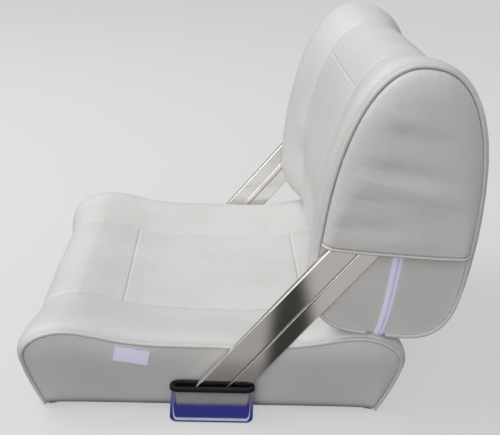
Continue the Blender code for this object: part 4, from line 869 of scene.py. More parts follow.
def flap_edge(count):
    """The back's side view from the hem's front end over the top to its rear end."""
    depth = (HEM_HEIGHT - BACK_WAIST) / (BACK_BOTTOM - BACK_WAIST)
    dip = math.asin(depth ** (BOTTOM_ROUNDNESS / 2))
    line = back_point(np.linspace(-dip, math.pi + dip, 3000))
    return resampled(line, np.linspace(0, 1, count))


def coons(bottom, top, left, right):
    """A grid between four curves: P = the two ruled surfaces less the corners' bilinear one.

    P(u, v) = (1 - v) B(u) + v T(u) + (1 - u) L(v) + u R(v) - the four corners blended.
    """
    u = np.linspace(0, 1, len(bottom))[None, :, None]
    v = np.linspace(0, 1, len(left))[:, None, None]
    ruled = (1 - v) * bottom[None] + v * top[None] + (1 - u) * left[:, None] + u * right[:, None]
    corners = ((1 - v) * ((1 - u) * bottom[0] + u * bottom[-1])
               + v * ((1 - u) * top[0] + u * top[-1]))
    return ruled - corners


# Each fold as on the cheek, and the share of their height that is used.
FOLDS = (((-0.040, 0.093), 0.055, 0.009, -0.12, 0.0012),
         ((-0.030, 0.072), 0.050, 0.010, -0.05, -0.0010),
         ((-0.045, 0.046), 0.050, 0.011, -0.06, 0.0009),
         ((-0.020, 0.030), 0.075, 0.010, -0.08, -0.0013),
         ((0.005, 0.008), 0.070, 0.011, -0.06, 0.0012),
         ((-0.045, -0.008), 0.040, 0.010, 0.10, -0.0009),
         ((0.020, -0.022), 0.050, 0.012, 0.08, -0.0006),
         ((-0.050, -0.040), 0.050, 0.010, 0.04, -0.0011),
         ((-0.010, -0.055), 0.080, 0.009, 0.03, 0.0007))
FOLD_SHARE = 1.25


def flap_field(p, q):
    """The loose middle's own height: a low crown, the folds, and finer pull lines in front."""
    level = (np.abs(p) / BACK_HALF_DEPTH) ** 2.4 + (np.clip(q, 0, 1) / BACK_TOP) ** 2.4
    free = np.clip(1.15 - level, 0, 1)
    loose = sum(fold(p, q, *each) for each in FOLDS)
    front = np.clip(-p / 0.07, 0, 1) * np.clip(1 - np.abs(q - 0.03) / 0.12, 0, 1)
    pulls = 0.00022 * ripple(q + 0.12 * p, (0.0093, 0.0137, 0.0061), 29) * front
    return 0.0010 * free + FOLD_SHARE * (loose + pulls) * np.clip(free * 3, 0, 1)


# %% [markdown]
# The rim and the middle of the flap are two grids that share their edge. The hem's cord runs in
# the rim's lower ends and along the middle's lowest row, so it follows every fold.

# %% The flaps
def flap_rim():
    """The rounded rim: x climbs by a quarter sine while the line moves in by 1 - cosine.

    The round is tight beside the arm and widens over the shaft, where no arm passes.
    """
    edge = flap_edge(3 * FLAP_SIDE + 1)
    normals = outward(edge)
    curve = FLAP_ROUND + (FLAP_TOP_ROUND - FLAP_ROUND) * eased((edge[:, 1] + 0.060) / 0.130)
    base = BACK_HALF_WIDTH + 0.0015
    rows = []
    for angle in np.linspace(0, np.pi / 2, RIM_ROWS):
        inset = FLAP_EDGE_INSET + curve * (1 - math.cos(angle))
        x = base + (FLAP_OUTER_X - base) * math.sin(angle)
        x = x if angle else BACK_HALF_WIDTH + FLAP_LIFT
        rows.append(np.column_stack([np.full(len(edge), x), edge - inset[:, None] * normals]))
    return np.array(rows)


def hem_shift(points):
    """The hem's slope and its upturned ends, fading with height above it."""
    side = points[..., 1] / BACK_HALF_DEPTH
    fade = np.clip(1 - (points[..., 2] + HEM_HEIGHT) / 0.16, 0, 1)
    points[..., 2] += (HEM_RISE * side ** 4 + HEM_SKEW * side) * fade
    return points


rim = flap_rim()
last = rim[-1]
lower = np.linspace(last[0], last[-1], FLAP_SIDE + 1)
field = coons(lower, last[FLAP_SIDE:2 * FLAP_SIDE + 1], last[:FLAP_SIDE + 1],
              last[2 * FLAP_SIDE:][::-1])
field[..., 0] += flap_field(field[..., 1], field[..., 2])
rim_share = np.arange(RIM_ROWS) / (RIM_ROWS - 1)
rim[:, :, 0] += flap_field(rim[:, :, 1], rim[:, :, 2]) * rim_share[:, None] ** 2
rim, field = hem_shift(rim), hem_shift(field)
hem_line = np.concatenate([rim[HEM_START:, 0], field[0, 1:-1], rim[HEM_START:, -1][::-1]])
hem_line = hem_line + (-FLAP_THICKNESS / 2, 0, -HEM_RADIUS - 0.0002)


def grid_quads(n, m, start=0):
    """Quads of an n by m grid whose first point has a given number."""
    i, j = np.meshgrid(np.arange(n - 1), np.arange(m - 1), indexing="ij")
    corner = start + i * m + j
    return np.stack([corner, corner + m, corner + m + 1, corner + 1], axis=-1).reshape(-1, 4)


for label, sign in SIDES:
    side = (sign, 1, 1)
    extra = (on_back(field.reshape(-1, 3) * side),
             grid_quads(*field.shape[:2], rim.shape[0] * rim.shape[1]))
    mesh = grid_mesh("flap_" + label, on_back(rim * side), extra=extra)
    flap = link("flap_" + label, face_out(tidy_closed(mesh), SHAFT_PLACE), flap_vinyl, "back",
                "vinyl", "side_flap_" + label)
    wall(flap, FLAP_THICKNESS)
    hem = cord("hem_" + label, on_back(hem_line * side), HEM_RADIUS, "back", "flap_hem_" + label)

# %% [markdown]
# ## Zip
#
# A zip runs down the middle of each cheek and under the cushion. Its tape is two strips with a
# row of moulded teeth between them. The section is swept along the skin's own middle line, so it
# stays on the skin however that swells, and the teeth and the stitches are patterns along the
# length, in metres, because a thousand modelled teeth would cost more than they show.

# %% Zip tape
TOOTH_PITCH, STITCH_PITCH = 0.0013, 0.0028
# ZIP_GLOW and TAG_GLOW are painted light: an emission that makes the zip tape and the tag brighter
# than the lamps light them.
ZIP_GLOW, TAG_GLOW = (0.10, 0.095, 0.165, 1.0), (0.12, 0.11, 0.185, 1.0)
ZIP_TOP, ZIP_BOW, ZIP_PROUD, ZIP_POINTS, SMOOTHED = -0.058, 0.0050, 0.0005, 420, 15
ZIP_HALF, ZIP_SCALE = 0.00525, 1.16
half_section = [(-ZIP_HALF, -0.0001), (-ZIP_HALF, 0.0006), (-0.0046, 0.0009), (-0.0038, 0.0008),
                (-0.0031, 0.0009), (-0.0022, 0.0006), (-0.0015, 0.0011), (-0.0008, 0.0015)]
ZIP_SECTION = ZIP_SCALE * np.array(half_section + [(0, 0.0013)]
                                   + [(-across, rise) for across, rise in half_section[::-1]])
section_steps = np.linalg.norm(np.diff(ZIP_SECTION, axis=0), axis=1)
ZIP_MIDDLE = float(section_steps[:len(half_section)].sum())


def webbing_finish(name, glow, teeth):
    """Brightened polyester: a fine woven rib, a faint glow of painted light, and teeth along the
    middle, with painted shade between them.
    """
    made = Finish(name, tone(233, 231, 246), 0.62, Specular_IOR_Level=0.3)
    made.set("Emission Color", glow)
    made.set("Emission Strength", 1.0)
    u, v = made.parts(made.place("UV"))[:2]
    weave = (u * 5200.0).sine() * (v * 5200.0).sine()
    if teeth:
        off = abs(v - ZIP_MIDDLE)
        middle = 1 - off.smooth(0.0015, 0.0021)
        tooth = abs((u * (math.pi / TOOTH_PITCH) + off * 1500.0).sine())
        stitch = 1 - abs(off - 0.0040).smooth(0.0002, 0.0006)
        thread = abs((u * (math.pi / STITCH_PITCH)).sine()).smooth(0.15, 0.4)
        made.bump(weave * 0.12 + middle * tooth * 1.0 + stitch * thread * 0.7, 0.0004)
        # Painted shade: the colour darkens between the teeth and in the gaps of the stitching,
        # where these recesses lie in shade.
        shade = (middle * (1 - tooth) * 0.5 + stitch * (1 - thread) * 0.3).clamped()
        made.set("Base Color", made.blend(shade, tone(236, 234, 249), tone(176, 172, 206)))
    else:
        made.bump(weave * 0.3 + made.noise(made.place(), 90.0) * 0.6, 0.0003)
        slow = made.noise(made.place(), 160.0)
        made.set("Base Color", made.blend(slow, tone(238, 236, 248), tone(226, 223, 240)))
    return made.material


column = back_points[:, lowest]
outside = np.nonzero(column[:, 2] < ZIP_TOP)[0]
zip_line = resampled(column[outside[0]:outside[-1] + 1], np.linspace(0, 1, ZIP_POINTS))
drop = np.clip((zip_line[:, 2] - ZIP_TOP) / (-BACK_BOTTOM - ZIP_TOP), 0, 1)
zip_line[:, 1] += ZIP_BOW * (1 - drop ** 5)
zip_along = unit(np.gradient(zip_line, axis=0))
zip_out = unit(np.cross((0, 1, 0), zip_along))
zip_out *= np.sign((zip_out * (zip_line - (0, 0, -0.1))).sum(axis=1))[:, None]
for axis in (0, 2):
    padded_out = np.pad(zip_out[:, axis], SMOOTHED // 2, mode="edge")
    zip_out[:, axis] = np.convolve(padded_out, np.ones(SMOOTHED) / SMOOTHED, "valid")
zip_out = unit(zip_out)
zip_line = zip_line + ZIP_PROUD * zip_out
narrow = 1 - 0.12 * drop ** 2
zip_points = (zip_line[:, None] + ZIP_SECTION[None, :, 1, None] * zip_out[:, None]
              + np.array([0, 1, 0]) * (narrow[:, None] * ZIP_SECTION[None, :, 0])[..., None])
link("zip_band", tidy_closed(grid_mesh("zip_band", on_back(zip_points), close_v=True, caps=True)),
     webbing_finish("zip_webbing", ZIP_GLOW, True), "back", "webbing", "zip_tape")
print("zip", round(1000 * length_of(zip_line)), "mm long")

# %% [markdown]
# The slider is a die-cast shoe with a loop and a pull. Each part is a superellipsoid, a sphere
# whose sines and cosines are raised to a power, which turns it into a rounded block.

# %% Zip slider
SLIDER_PROUD = 0.0003


def rounded_block(centre, half, power, n=20, m=28):
    """x, y, z = half * sign(s)|s|^power with s the sphere's own coordinates."""
    a, b = np.meshgrid(np.linspace(-np.pi / 2, np.pi / 2, n),
                       np.linspace(0, 2 * np.pi, m, endpoint=False), indexing="ij")
    ball = np.stack([np.cos(a) * np.cos(b), np.cos(a) * np.sin(b), np.sin(a)], axis=-1)
    return np.array(centre) + np.array(half) * np.sign(ball) * np.abs(ball) ** power


def joined(name, blocks, transform):
    """Several closed grids as one mesh, merged at their poles."""
    whole = bmesh.new()
    for block in blocks:
        part = grid_mesh("part", transform(block), close_v=True)
        whole.from_mesh(part)
        bpy.data.meshes.remove(part)
    mesh = bpy.data.meshes.new(name)
    whole.to_mesh(mesh)
    whole.free()
    return tidy_closed(mesh, 0.000003)


under = int(np.argmin(np.abs(zip_line[:, 0] - 0.195) + (np.abs(zip_line[:, 2] + 0.17) > 0.02)))
slider_axes = np.stack([zip_along[under], (0, 1, 0), zip_out[under]])
slider_place = zip_line[under] + SLIDER_PROUD * zip_out[under]
slider_blocks = [rounded_block((0, 0, 0.0009), (0.0062, 0.0040, 0.0009), 0.45),
                 rounded_block((0.0010, 0, 0.0019), (0.0030, 0.0009, 0.0007), 0.5),
                 rounded_block((-0.0075, 0, 0.0021), (0.0072, 0.0021, 0.00045), 0.5)]

# %% [markdown]
# ## Metals, rubber and nylon
#
# Bright metal looks like what it mirrors, so its finish is mostly roughness: long draw lines on
# the arms, a nearly clear mirror on the pressed brackets, a dull grain on plated screws. The
# lines are noise squeezed hard across the bar, after its coordinates are turned to the bar's lean.

# %% Finishes of the hard parts
ARM_LEAN = math.radians(39.0)
PIVOT_PLACE = np.array([0.0, 0.0, 0.027])
GROOVE_OFFSET, GROOVE_WIDTH, GROOVE_DEPTH = 0.0038, 0.0022, 0.0006


def aluminium_finish():
    """Polished bar: lengthwise draw lines, cloudy handling marks, a few small nicks and painted
    shade in the groove.
    """
    made = Finish("polished_aluminium", tone(236, 234, 232), 0.12, 1.0)
    upright = made.mapped(made.place(), turn=(ARM_LEAN, 0, 0))
    lines = made.noise(made.mapped(upright, (40.0, 260.0, 2.2)), 5.0, 4.0, 0.6)
    cloud = made.noise(made.place(), 22.0, 4.0, 0.6)
    nick = made.noise(made.mapped(upright, (1.0, 1.0, 0.5)), 420.0, 2.0).smooth(0.735, 0.76)
    y, z = made.parts(made.place())[1:]
    across = y * math.cos(ARM_LEAN) - (z - PIVOT_PLACE[2]) * math.sin(ARM_LEAN)
    # Painted shade: the groove's channel gets a darker base colour, along with a rougher finish,
    # so that it reads as a dark recess.
    channel = 1 - abs(across - GROOVE_OFFSET).smooth(0.0008, 0.0012)
    made.set("Roughness", lines * 0.07 + cloud * 0.06 + nick * 0.2 + channel * 0.3 + 0.035)
    metal = made.blend(nick * 0.6 + cloud * 0.2, tone(238, 236, 234), tone(212, 210, 208))
    made.set("Base Color", made.blend(channel, metal, tone(150, 148, 146)))
    made.bump(lines * 0.5 + nick * -0.8, 0.00003)
    return made.material


def steel_finish(name, roughness, grain, colour=(205, 205, 207)):
    """Pressed and polished stainless: a clear mirror with faint ripples and wiping marks."""
    made = Finish(name, tone(*colour), roughness, 1.0)
    place = made.place()
    wipe = made.noise(made.mapped(place, (8.0, 1.0, 30.0)), 9.0, 4.0)
    made.set("Roughness", wipe * grain + roughness)
    made.set("Base Color", made.blend(made.noise(place, 70.0), tone(*colour),
                                      tone(*(0.93 * np.array(colour)))))
    made.bump(made.noise(place, 45.0, 2.0), 0.0001)
    return made.material


def dull_finish(name, light, dark, roughness, scale, height, sheen=0.45):
    """Moulded or extruded black parts: a slow tint and a fine matt grain."""
    made = Finish(name, tone(*light), roughness, Specular_IOR_Level=sheen)
    place = made.place()
    slow, fine = made.noise(place, scale * 0.06, 3.0), made.noise(place, scale, 3.0)
    made.set("Base Color", made.blend(slow.smooth(0.3, 0.7), tone(*light), tone(*dark)))
    made.set("Roughness", fine * 0.2 + (roughness - 0.1))
    made.bump(fine, height)
    return made.material


def plywood_finish(name, layers):
    """Sealed plywood: long grain on the faces and thin glued layers on the edges."""
    made = Finish(name, tone(196, 168, 128), 0.55)
    place = made.place()
    grain = made.noise(made.mapped(place, (1.0, 0.06, 1.0)), 130.0, 5.0, 0.6, 0.4)
    depth = made.parts(made.mapped(place, turn=layers))[2]
    glue = (depth * (2 * math.pi / 0.0030)).sine().smooth(0.2, 0.9)
    colour = made.blend(grain.smooth(0.3, 0.7), tone(206, 180, 142), tone(176, 144, 102))
    made.set("Base Color", made.blend(glue * 0.45, colour, tone(120, 88, 58)))
    made.bump(grain, 0.0002)
    return made.material


def foam_finish():
    """Cut foam: open cells and a slightly yellowed cream."""
    made = Finish("cut_foam", tone(232, 220, 180), 0.95)
    cells = made.cells(made.place(), 700.0)
    made.set("Base Color", made.blend(cells, tone(238, 228, 190), tone(206, 190, 146)))
    made.bump(cells, 0.0006)
    return made.material


aluminium = aluminium_finish()
bracket_steel = steel_finish("polished_steel", 0.045, 0.05)
screw_steel = steel_finish("plated_steel", 0.26, 0.14, (190, 190, 186))
rubber = dull_finish("black_rubber", (27, 27, 30), (17, 17, 19), 0.6, 1500.0, 0.00006, 0.22)
nylon = dull_finish("black_nylon", (46, 46, 48), (36, 36, 38), 0.42, 900.0, 0.00003)
board_wood = plywood_finish("plywood", (0, 0, 0))
core_wood = plywood_finish("core_plywood", (math.radians(90), 0, 0))
foam = foam_finish()
print("finishes", sorted(stuff.name for stuff in bpy.data.materials if stuff.use_nodes))

zip_shoe = joined("zip_shoe", slider_blocks,
                  lambda block: on_back(block @ slider_axes + slider_place))
link("zip_shoe", zip_shoe, screw_steel, "back", "polished_steel", "zip_slider")

# %% [markdown]
# ## Sewn tag
#
# A folded woven tag hangs from the seam under the seat's left piping. It follows the cheek's own
# surface formula, a hair in front of it, and its loose lower edge lifts a little. It stays blank.

# %% The tag
TAG_HALF, TAG_DEPTH, TAG_PLACE, TAG_SLOPE = 0.0215, 0.020, (-0.098, 0.0863), math.radians(-9.5)
TAG_PROUD, TAG_THICKNESS = 0.0011, 0.0008


def cheek_surface(y, z):
    """The seat cheek's x at a place, with the same swell as its skin."""
    edge = np.interp(np.abs(y), seat_outline[len(seat_outline) // 2:, 0],
                     seat_outline[len(seat_outline) // 2:, 1]) - CHEEK_INSET
    t = np.clip((z - COVER_BASE) / (edge - COVER_BASE), 0, 1)
    return cheek_x(z) + CHEEK_PUFF * hump(t) ** CHEEK_POWER + 0.0005


tag_across, tag_down = np.meshgrid(np.linspace(-1, 1, 45), np.linspace(0, 1, 25), indexing="ij")
tag_y = TAG_HALF * tag_across
tag_z = -TAG_DEPTH * tag_down
tag_turn = np.array([[math.cos(TAG_SLOPE), -math.sin(TAG_SLOPE)],
                     [math.sin(TAG_SLOPE), math.cos(TAG_SLOPE)]])
tag_yz = np.stack([tag_y, tag_z], axis=-1) @ tag_turn.T + TAG_PLACE
tag_x = cheek_surface(tag_yz[..., 0], tag_yz[..., 1]) + TAG_PROUD
tag_x += 0.0007 * tag_down ** 2 + 0.0003 * ripple(tag_y + 0.3 * tag_z, (0.021, 0.034), 31)
tag_points = np.concatenate([tag_x[..., None], tag_yz], axis=-1)
tag = link("blank_tag", face_out(grid_mesh("blank_tag", tag_points), (0, 0, 0.04)),
           webbing_finish("tag_webbing", TAG_GLOW, False), "seat", "webbing", "sewn_tag")
wall(tag, TAG_THICKNESS)
print("tag", round(2000 * TAG_HALF), "x", round(1000 * TAG_DEPTH), "mm")

# %% [markdown]
# ## Arms
#
# Each arm is a flat aluminium bar with round ends and one groove down each face. A box with a
# bevel would shade well too, but a grid over the face lets the groove be part of the profile:
# the face's height is a function of the distance across the bar.

# %% The arms
ARM_INNER_X, ARM_THICKNESS, ARM_WIDTH, ARM_LENGTH = 0.2583, 0.0087, 0.050, 0.344983
EDGE_RADIUS, EDGE_RINGS = 0.0016, 7


def on_arm(points):
    """Points given from the lower pivot with the arm upright, in their place."""
    return points @ about_x(-ARM_LEAN).T + PIVOT_PLACE


def groove(across, centre):
    """Depth of the groove: a flat-floored channel with slanting walls."""
    distance = np.abs(across - centre)
    return -GROOVE_DEPTH * np.clip((GROOVE_WIDTH / 2 - distance) / (GROOVE_WIDTH / 4), 0, 1)


def boundary(grid):
    """The values round a grid's edge, in order."""
    return np.concatenate([grid[0], grid[1:, -1], grid[-1, -2::-1], grid[-2:0:-1, 0]])


def arm_mesh(name, sign):
    """Two faces of the bar joined by a rim of half-round rings.

    A face's station w runs over the width. It spans -sqrt(R^2 - w^2) to L + sqrt(R^2 - w^2), R
    being half the width less the edge radius, and the rim adds a half round outside it.
    """
    reach = ARM_WIDTH / 2 - EDGE_RADIUS
    beside = np.linspace(-0.0014, 0.0014, 9)
    stations = np.unique(np.concatenate([reach * np.sin(np.linspace(-np.pi / 2, np.pi / 2, 33)),
                                         GROOVE_OFFSET + beside, -GROOVE_OFFSET + beside]))
    end = np.sqrt(np.maximum(reach ** 2 - stations ** 2, 0))[:, None]
    along = -end + (ARM_LENGTH + 2 * end) * np.linspace(0, 1, 41)
    across = np.broadcast_to(stations[:, None], along.shape)
    outer = ARM_THICKNESS / 2 + groove(across, GROOVE_OFFSET)
    inner = -ARM_THICKNESS / 2 - groove(across, -GROOVE_OFFSET)
    n, m = across.shape
    edge_w, edge_t = boundary(across), boundary(along)
    out = unit(np.stack([edge_w, edge_t - np.clip(edge_t, 0, ARM_LENGTH)], axis=1))
    top, bottom = boundary(outer), boundary(inner)
    rings = []
    for angle in np.linspace(0, np.pi, EDGE_RINGS + 2)[1:-1]:
        flat = EDGE_RADIUS * math.sin(angle)
        drop = EDGE_RADIUS * (1 - abs(math.cos(angle)))
        level = top - drop if angle < np.pi / 2 else bottom + drop
        rings.append(np.stack([level, edge_w + flat * out[:, 0], edge_t + flat * out[:, 1]], 1))
    faces = [np.stack([side, across, along], axis=-1).reshape(-1, 3) for side in (outer, inner)]
    vertices = np.vstack([*faces, *rings]) + (ARM_INNER_X + ARM_THICKNESS / 2, 0, 0)
    quad = grid_quads(n, m)
    index = boundary(np.arange(n * m).reshape(n, m))
    loops = [index] + [2 * n * m + k * len(index) + np.arange(len(index))
                       for k in range(EDGE_RINGS)]
    loops.append(index + n * m)
    strips = [np.stack([a, np.roll(a, -1), np.roll(b, -1), b], axis=-1)
              for a, b in zip(loops, loops[1:])]
    mesh = bpy.data.meshes.new(name)
    mesh.from_pydata((on_arm(vertices) * (sign, 1, 1)).tolist(), [],
                     np.vstack([quad, quad[:, ::-1] + n * m, *strips]).tolist())
    return tidy_closed(mesh, 0.000002)


for label, sign in SIDES:
    link("arm_bar_" + label, arm_mesh("arm_bar_" + label, sign), aluminium, "arms",
         "polished_aluminium", "arm_" + label, crisp=40)
print("arms", ARM_LENGTH, "m from pivot to shaft")

# %% [markdown]
# ## Pocket brackets and rubber edging
#
# The bracket is a deep pressed cup with round corners, welded to a flange that screws under the
# board. Rings of a rounded rectangle, offset in or out and lifted, make its walls, its bend and
# its floor. The rubber edging is the same ring with a small round section on top of the rim.

# %% Rings of a rounded rectangle
def rounded_ring(half_x, half_y, radius, steps=12, straight=8):
    """Points of a rectangle with round corners, anticlockwise, with points along its sides."""
    corners = []
    for quarter, (sx, sy) in enumerate(((1, 1), (-1, 1), (-1, -1), (1, -1))):
        angle = np.pi / 2 * (quarter + np.linspace(0, 1, steps + 1))
        corners.append(np.stack([sx * (half_x - radius) + radius * np.cos(angle),
                                 sy * (half_y - radius) + radius * np.sin(angle)], axis=1))
    runs = []
    for corner, follow in zip(corners, corners[1:] + corners[:1]):
        runs += [corner, np.linspace(corner[-1], follow[0], straight + 2)[1:-1]]
    return np.concatenate(runs)


POCKET_OUTER_X, POCKET_INNER_X, POCKET_WALL = 0.275, 0.2535, 0.0018
RIM_TILT, TRIM_SKIRT, STOP_GAP = 0.003, 0.0016, 0.0004
POCKET_RIM, POCKET_BOTTOM, POCKET_CORNER, POCKET_BEND = 0.0415, 0.0048, 0.0095, 0.0042
POCKET_FLARE, TRIM_TOP, TRIM_BEAD = 0.0012, 0.0465, 0.0028
pocket_x = (POCKET_OUTER_X + POCKET_INNER_X) / 2
pocket_half_x = (POCKET_OUTER_X - POCKET_INNER_X) / 2
stop_rise = TRIM_TOP - TRIM_BEAD - PIVOT_PLACE[2]
stop_side = ARM_WIDTH / 2 + TRIM_BEAD + STOP_GAP
pocket_half_y = ((stop_side + stop_rise * math.sin(ARM_LEAN)) / math.cos(ARM_LEAN)
                 + POCKET_WALL / 2)


def pocket_ring(out, z, flare=0.0, radius=0.0):
    """The pocket's outline moved out or in, at a height that falls a little towards the seat."""
    ring = rounded_ring(pocket_half_x + out, pocket_half_y + out + flare,
                        max(POCKET_CORNER + out, radius))
    share = np.clip((pocket_half_x - ring[:, 0]) / (2 * pocket_half_x), 0, 1)
    return np.column_stack([ring[:, 0] + pocket_x, ring[:, 1],
                            z - RIM_TILT * share * min(max(z / POCKET_RIM, 0), 1)])


def pocket_level(inset, z):
    """The cup's ring at a height: drawn in by an inset and flared towards the bottom."""
    low = 1 - np.clip((z + POCKET_BOTTOM) / (POCKET_RIM + POCKET_BOTTOM), 0, 1)
    return pocket_ring(-inset, z, POCKET_FLARE * low, 0.0018)


def pocket_rings():
    """Outside from the floor's middle up to the rim, over it, and down the inside."""
    bend = np.linspace(0, np.pi / 2, 9)
    rings = [pocket_level(pocket_half_x - 0.003, -POCKET_BOTTOM)]
    rings += [pocket_level(POCKET_BEND * (1 - math.sin(a)),
                           -POCKET_BOTTOM + POCKET_BEND * (1 - math.cos(a))) for a in bend]
    heights = np.linspace(-POCKET_BOTTOM + POCKET_BEND, POCKET_RIM, 7)[1:]
    rings += [pocket_level(0, z) for z in heights]
    rings += [pocket_level(POCKET_WALL, z) for z in heights[::-1]]
    inner = POCKET_BEND - POCKET_WALL
    rings += [pocket_level(POCKET_WALL + inner * (1 - math.sin(a)),
                           -POCKET_BOTTOM + POCKET_WALL + inner * (1 - math.cos(a)))
              for a in bend[::-1]]
    rings.append(pocket_level(pocket_half_x - 0.003, -POCKET_BOTTOM + POCKET_WALL))
    return np.array(rings)


FLANGE_TOP, FLANGE_THICKNESS, FLANGE_REACH, FLANGE_HALF_Y = -0.0021, 0.0024, 0.150, 0.046
flange_half_x = (POCKET_INNER_X + POCKET_WALL - FLANGE_REACH) / 2


def flange_rings():
    """A plate with round corners and softly broken edges."""
    rings = []
    for inset, z in ((0.02, 0), (0.0004, 0), (0.0001, 0.0001), (0, 0.0004), (0, 0.0020),
                     (0.0001, 0.0023), (0.0004, 0.0024), (0.02, 0.0024)):
        ring = rounded_ring(flange_half_x - inset, FLANGE_HALF_Y - inset,
                            max(0.012 - inset, 0.002))
        rings.append(np.column_stack([ring[:, 0] + FLANGE_REACH + flange_half_x, ring[:, 1],
                                      np.full(len(ring), FLANGE_TOP - FLANGE_THICKNESS + z)]))
    return np.array(rings)


def trim_rings():
    """The edging's section carried round the rim: a slot over the rim and a round top."""
    middle, slot = -POCKET_WALL / 2, POCKET_WALL / 2 + 0.0003
    skirt, roof = POCKET_RIM - TRIM_SKIRT, POCKET_RIM + 0.0003
    section = [(middle + slot, skirt), (middle + TRIM_BEAD - 0.0006, skirt),
               (middle + TRIM_BEAD - 0.0001, skirt + 0.0006)]
    section += [(middle + TRIM_BEAD * math.cos(a), TRIM_TOP - TRIM_BEAD + TRIM_BEAD * math.sin(a))
                for a in np.linspace(0, np.pi, 15)]
    section += [(middle - TRIM_BEAD + 0.0001, skirt + 0.0006),
                (middle - TRIM_BEAD + 0.0006, skirt), (middle - slot, skirt),
                (middle - slot, roof), (middle + slot, roof)]
    return np.array([pocket_ring(out, z) for out, z in section])


# %% [markdown]
# Each side gets its cup, its flange and its edging, mirrored by the sign of x.

# %% Brackets and edging in place
PRESSED = (("pocket_cup_", pocket_rings(), bracket_steel, "polished_steel", "pocket_bracket_", 40),
           ("pocket_flange_", flange_rings(), bracket_steel, "polished_steel",
            "pocket_bracket_", 50),
           ("rubber_edge_", trim_rings(), rubber, "black_rubber", "rim_trim_", 60))

for label, sign in SIDES:
    for name, rings, finish, slot_name, node, crisp in PRESSED:
        hollow = finish is rubber
        mesh = grid_mesh(name + label, rings * (sign, 1, 1), close_u=hollow, close_v=True,
                         caps=not hollow)
        link(name + label, tidy_closed(mesh), finish, "seat", slot_name, node + label,
             crisp=crisp)
print("pocket mouth", round(2000 * pocket_half_y), "x", round(2000 * pocket_half_x), "mm")

# %% [markdown]
# ## Turned hardware
#
# Bolts, bushes, spacers, nuts and the cross shaft are profiles spun about an axis: (radius,
# distance) pairs, with a small chamfer wherever a real lathe leaves one. A hexagon is the same
# spin with the radius divided by the cosine of the angle to its nearest flat.

# %% A spun profile
def spun(profile, axis="X", sides=40):
    """Rings of (radius, distance, hexagon share) about an axis."""
    angle = np.linspace(0, 2 * np.pi, sides, endpoint=False)
    flat = np.abs((angle + np.pi / 6) % (np.pi / 3) - np.pi / 6)
    rows = []
    for radius, distance, *hexed in profile:
        share = hexed[0] if hexed else 0.0
        r = radius * ((1 - share) + share * math.cos(np.pi / 6) / np.cos(flat))
        a, b, c = np.full(sides, distance), r * np.cos(angle), r * np.sin(angle)
        rows.append(np.stack({"X": (a, b, c), "Y": (b, a, c), "Z": (b, c, a)}[axis], axis=1))
    return np.array(rows)


STEEL, PLASTIC = (screw_steel, "polished_steel"), (nylon, "nylon")
POSES = {"seat": lambda points: points, "arms": on_arm, "back": on_back}


def turned(name, node, stuff, body, place, profile, sign=1, axis="X", ring=False, sides=40):
    """A spun piece, solid with capped ends or a ring, on the left or mirrored to the right."""
    points = POSES[body]((spun(profile, axis, sides) + place) * (sign, 1, 1))
    mesh = grid_mesh(name, points, close_u=ring, close_v=True, caps=not ring)
    return link(name, tidy_closed(mesh, 0.000002), stuff[0], body, stuff[1], node, crisp=32)


def chamfered(pairs, cut=0.0003):
    """A closed ring profile with each corner cut by a small chamfer."""
    made = []
    for before, here, after in zip(pairs[-1:] + pairs[:-1], pairs, pairs[1:] + pairs[:1]):
        for other in (before, after):
            step = np.subtract(other, here)
            made.append(tuple(np.add(here, step * min(cut / np.linalg.norm(step), 0.4))))
    return made


# %% [markdown]
# Each profile is a table row: radius and distance along the axis in metres, with a 1 where the
# section is a hexagon.

# %% The hardware
ARM_END, BOLT_HEAD = (0, 0, ARM_LENGTH), POCKET_INNER_X - 0.0003
SHAFT = ((0.0045, -0.2580), (0.0104, -0.2580), (0.011, -0.2574), (0.011, 0.2574),
         (0.0104, 0.2580), (0.0045, 0.2580))
PIVOTS = (
    ("pivot_screw_", "pivot_bolt_", STEEL, "seat", PIVOT_PLACE, False,
     [(0.0026, BOLT_HEAD - 0.0016), (0.0030, BOLT_HEAD - 0.0036), (0.0060, BOLT_HEAD - 0.0036),
      (0.0085, BOLT_HEAD - 0.0010), (0.0085, BOLT_HEAD), (0.005, BOLT_HEAD), (0.005, 0.2682),
      (0.004, 0.2684), (0.004, 0.2716)]),
    ("pivot_ring_", "pivot_spacer_", PLASTIC, "seat", PIVOT_PLACE, True,
     chamfered([(0.0053, 0.2554), (0.010, 0.2554), (0.010, 0.2580), (0.0053, 0.2580)])),
    ("pivot_sleeve_", "pivot_bush_", PLASTIC, "arms", (0, 0, 0), True,
     chamfered([(0.0053, 0.2583), (0.0075, 0.2583), (0.0075, 0.2673), (0.011, 0.2673),
                (0.011, 0.2685), (0.0053, 0.2685)], 0.0002)),
    ("end_screw_", "shaft_bolt_", STEEL, "arms", ARM_END, False,
     [(0.004, 0.2407), (0.004, 0.2627), (0.008, 0.2665), (0.008, 0.2667), (0.0030, 0.2667),
      (0.0026, 0.2647)]),
    ("shaft_ring_", "shaft_spacer_", PLASTIC, "arms", ARM_END, True,
     chamfered([(0.0113, 0.2293), (0.015, 0.2293), (0.015, 0.2580), (0.0113, 0.2580)])))
WOOD_SCREW = ((0.0009, -0.0034), (0.0014, -0.0042), (0.0041, -0.0042), (0.0043, -0.0040),
              (0.0024, -0.0023), (0.0024, 0.0053), (0.0006, 0.0077))
HEX_BOLT = ((0.0025, -0.0255), (0.0025, 0.0203), (0.0045, 0.0203, 1), (0.0045, 0.0230, 1),
            (0.0040, 0.0233, 1))
HEX_NUT = ((0.0028, -0.0243), (0.0040, -0.0243, 1), (0.0046, -0.0240, 1), (0.0046, -0.0206, 1),
           (0.0040, -0.0203, 1), (0.0028, -0.0203))
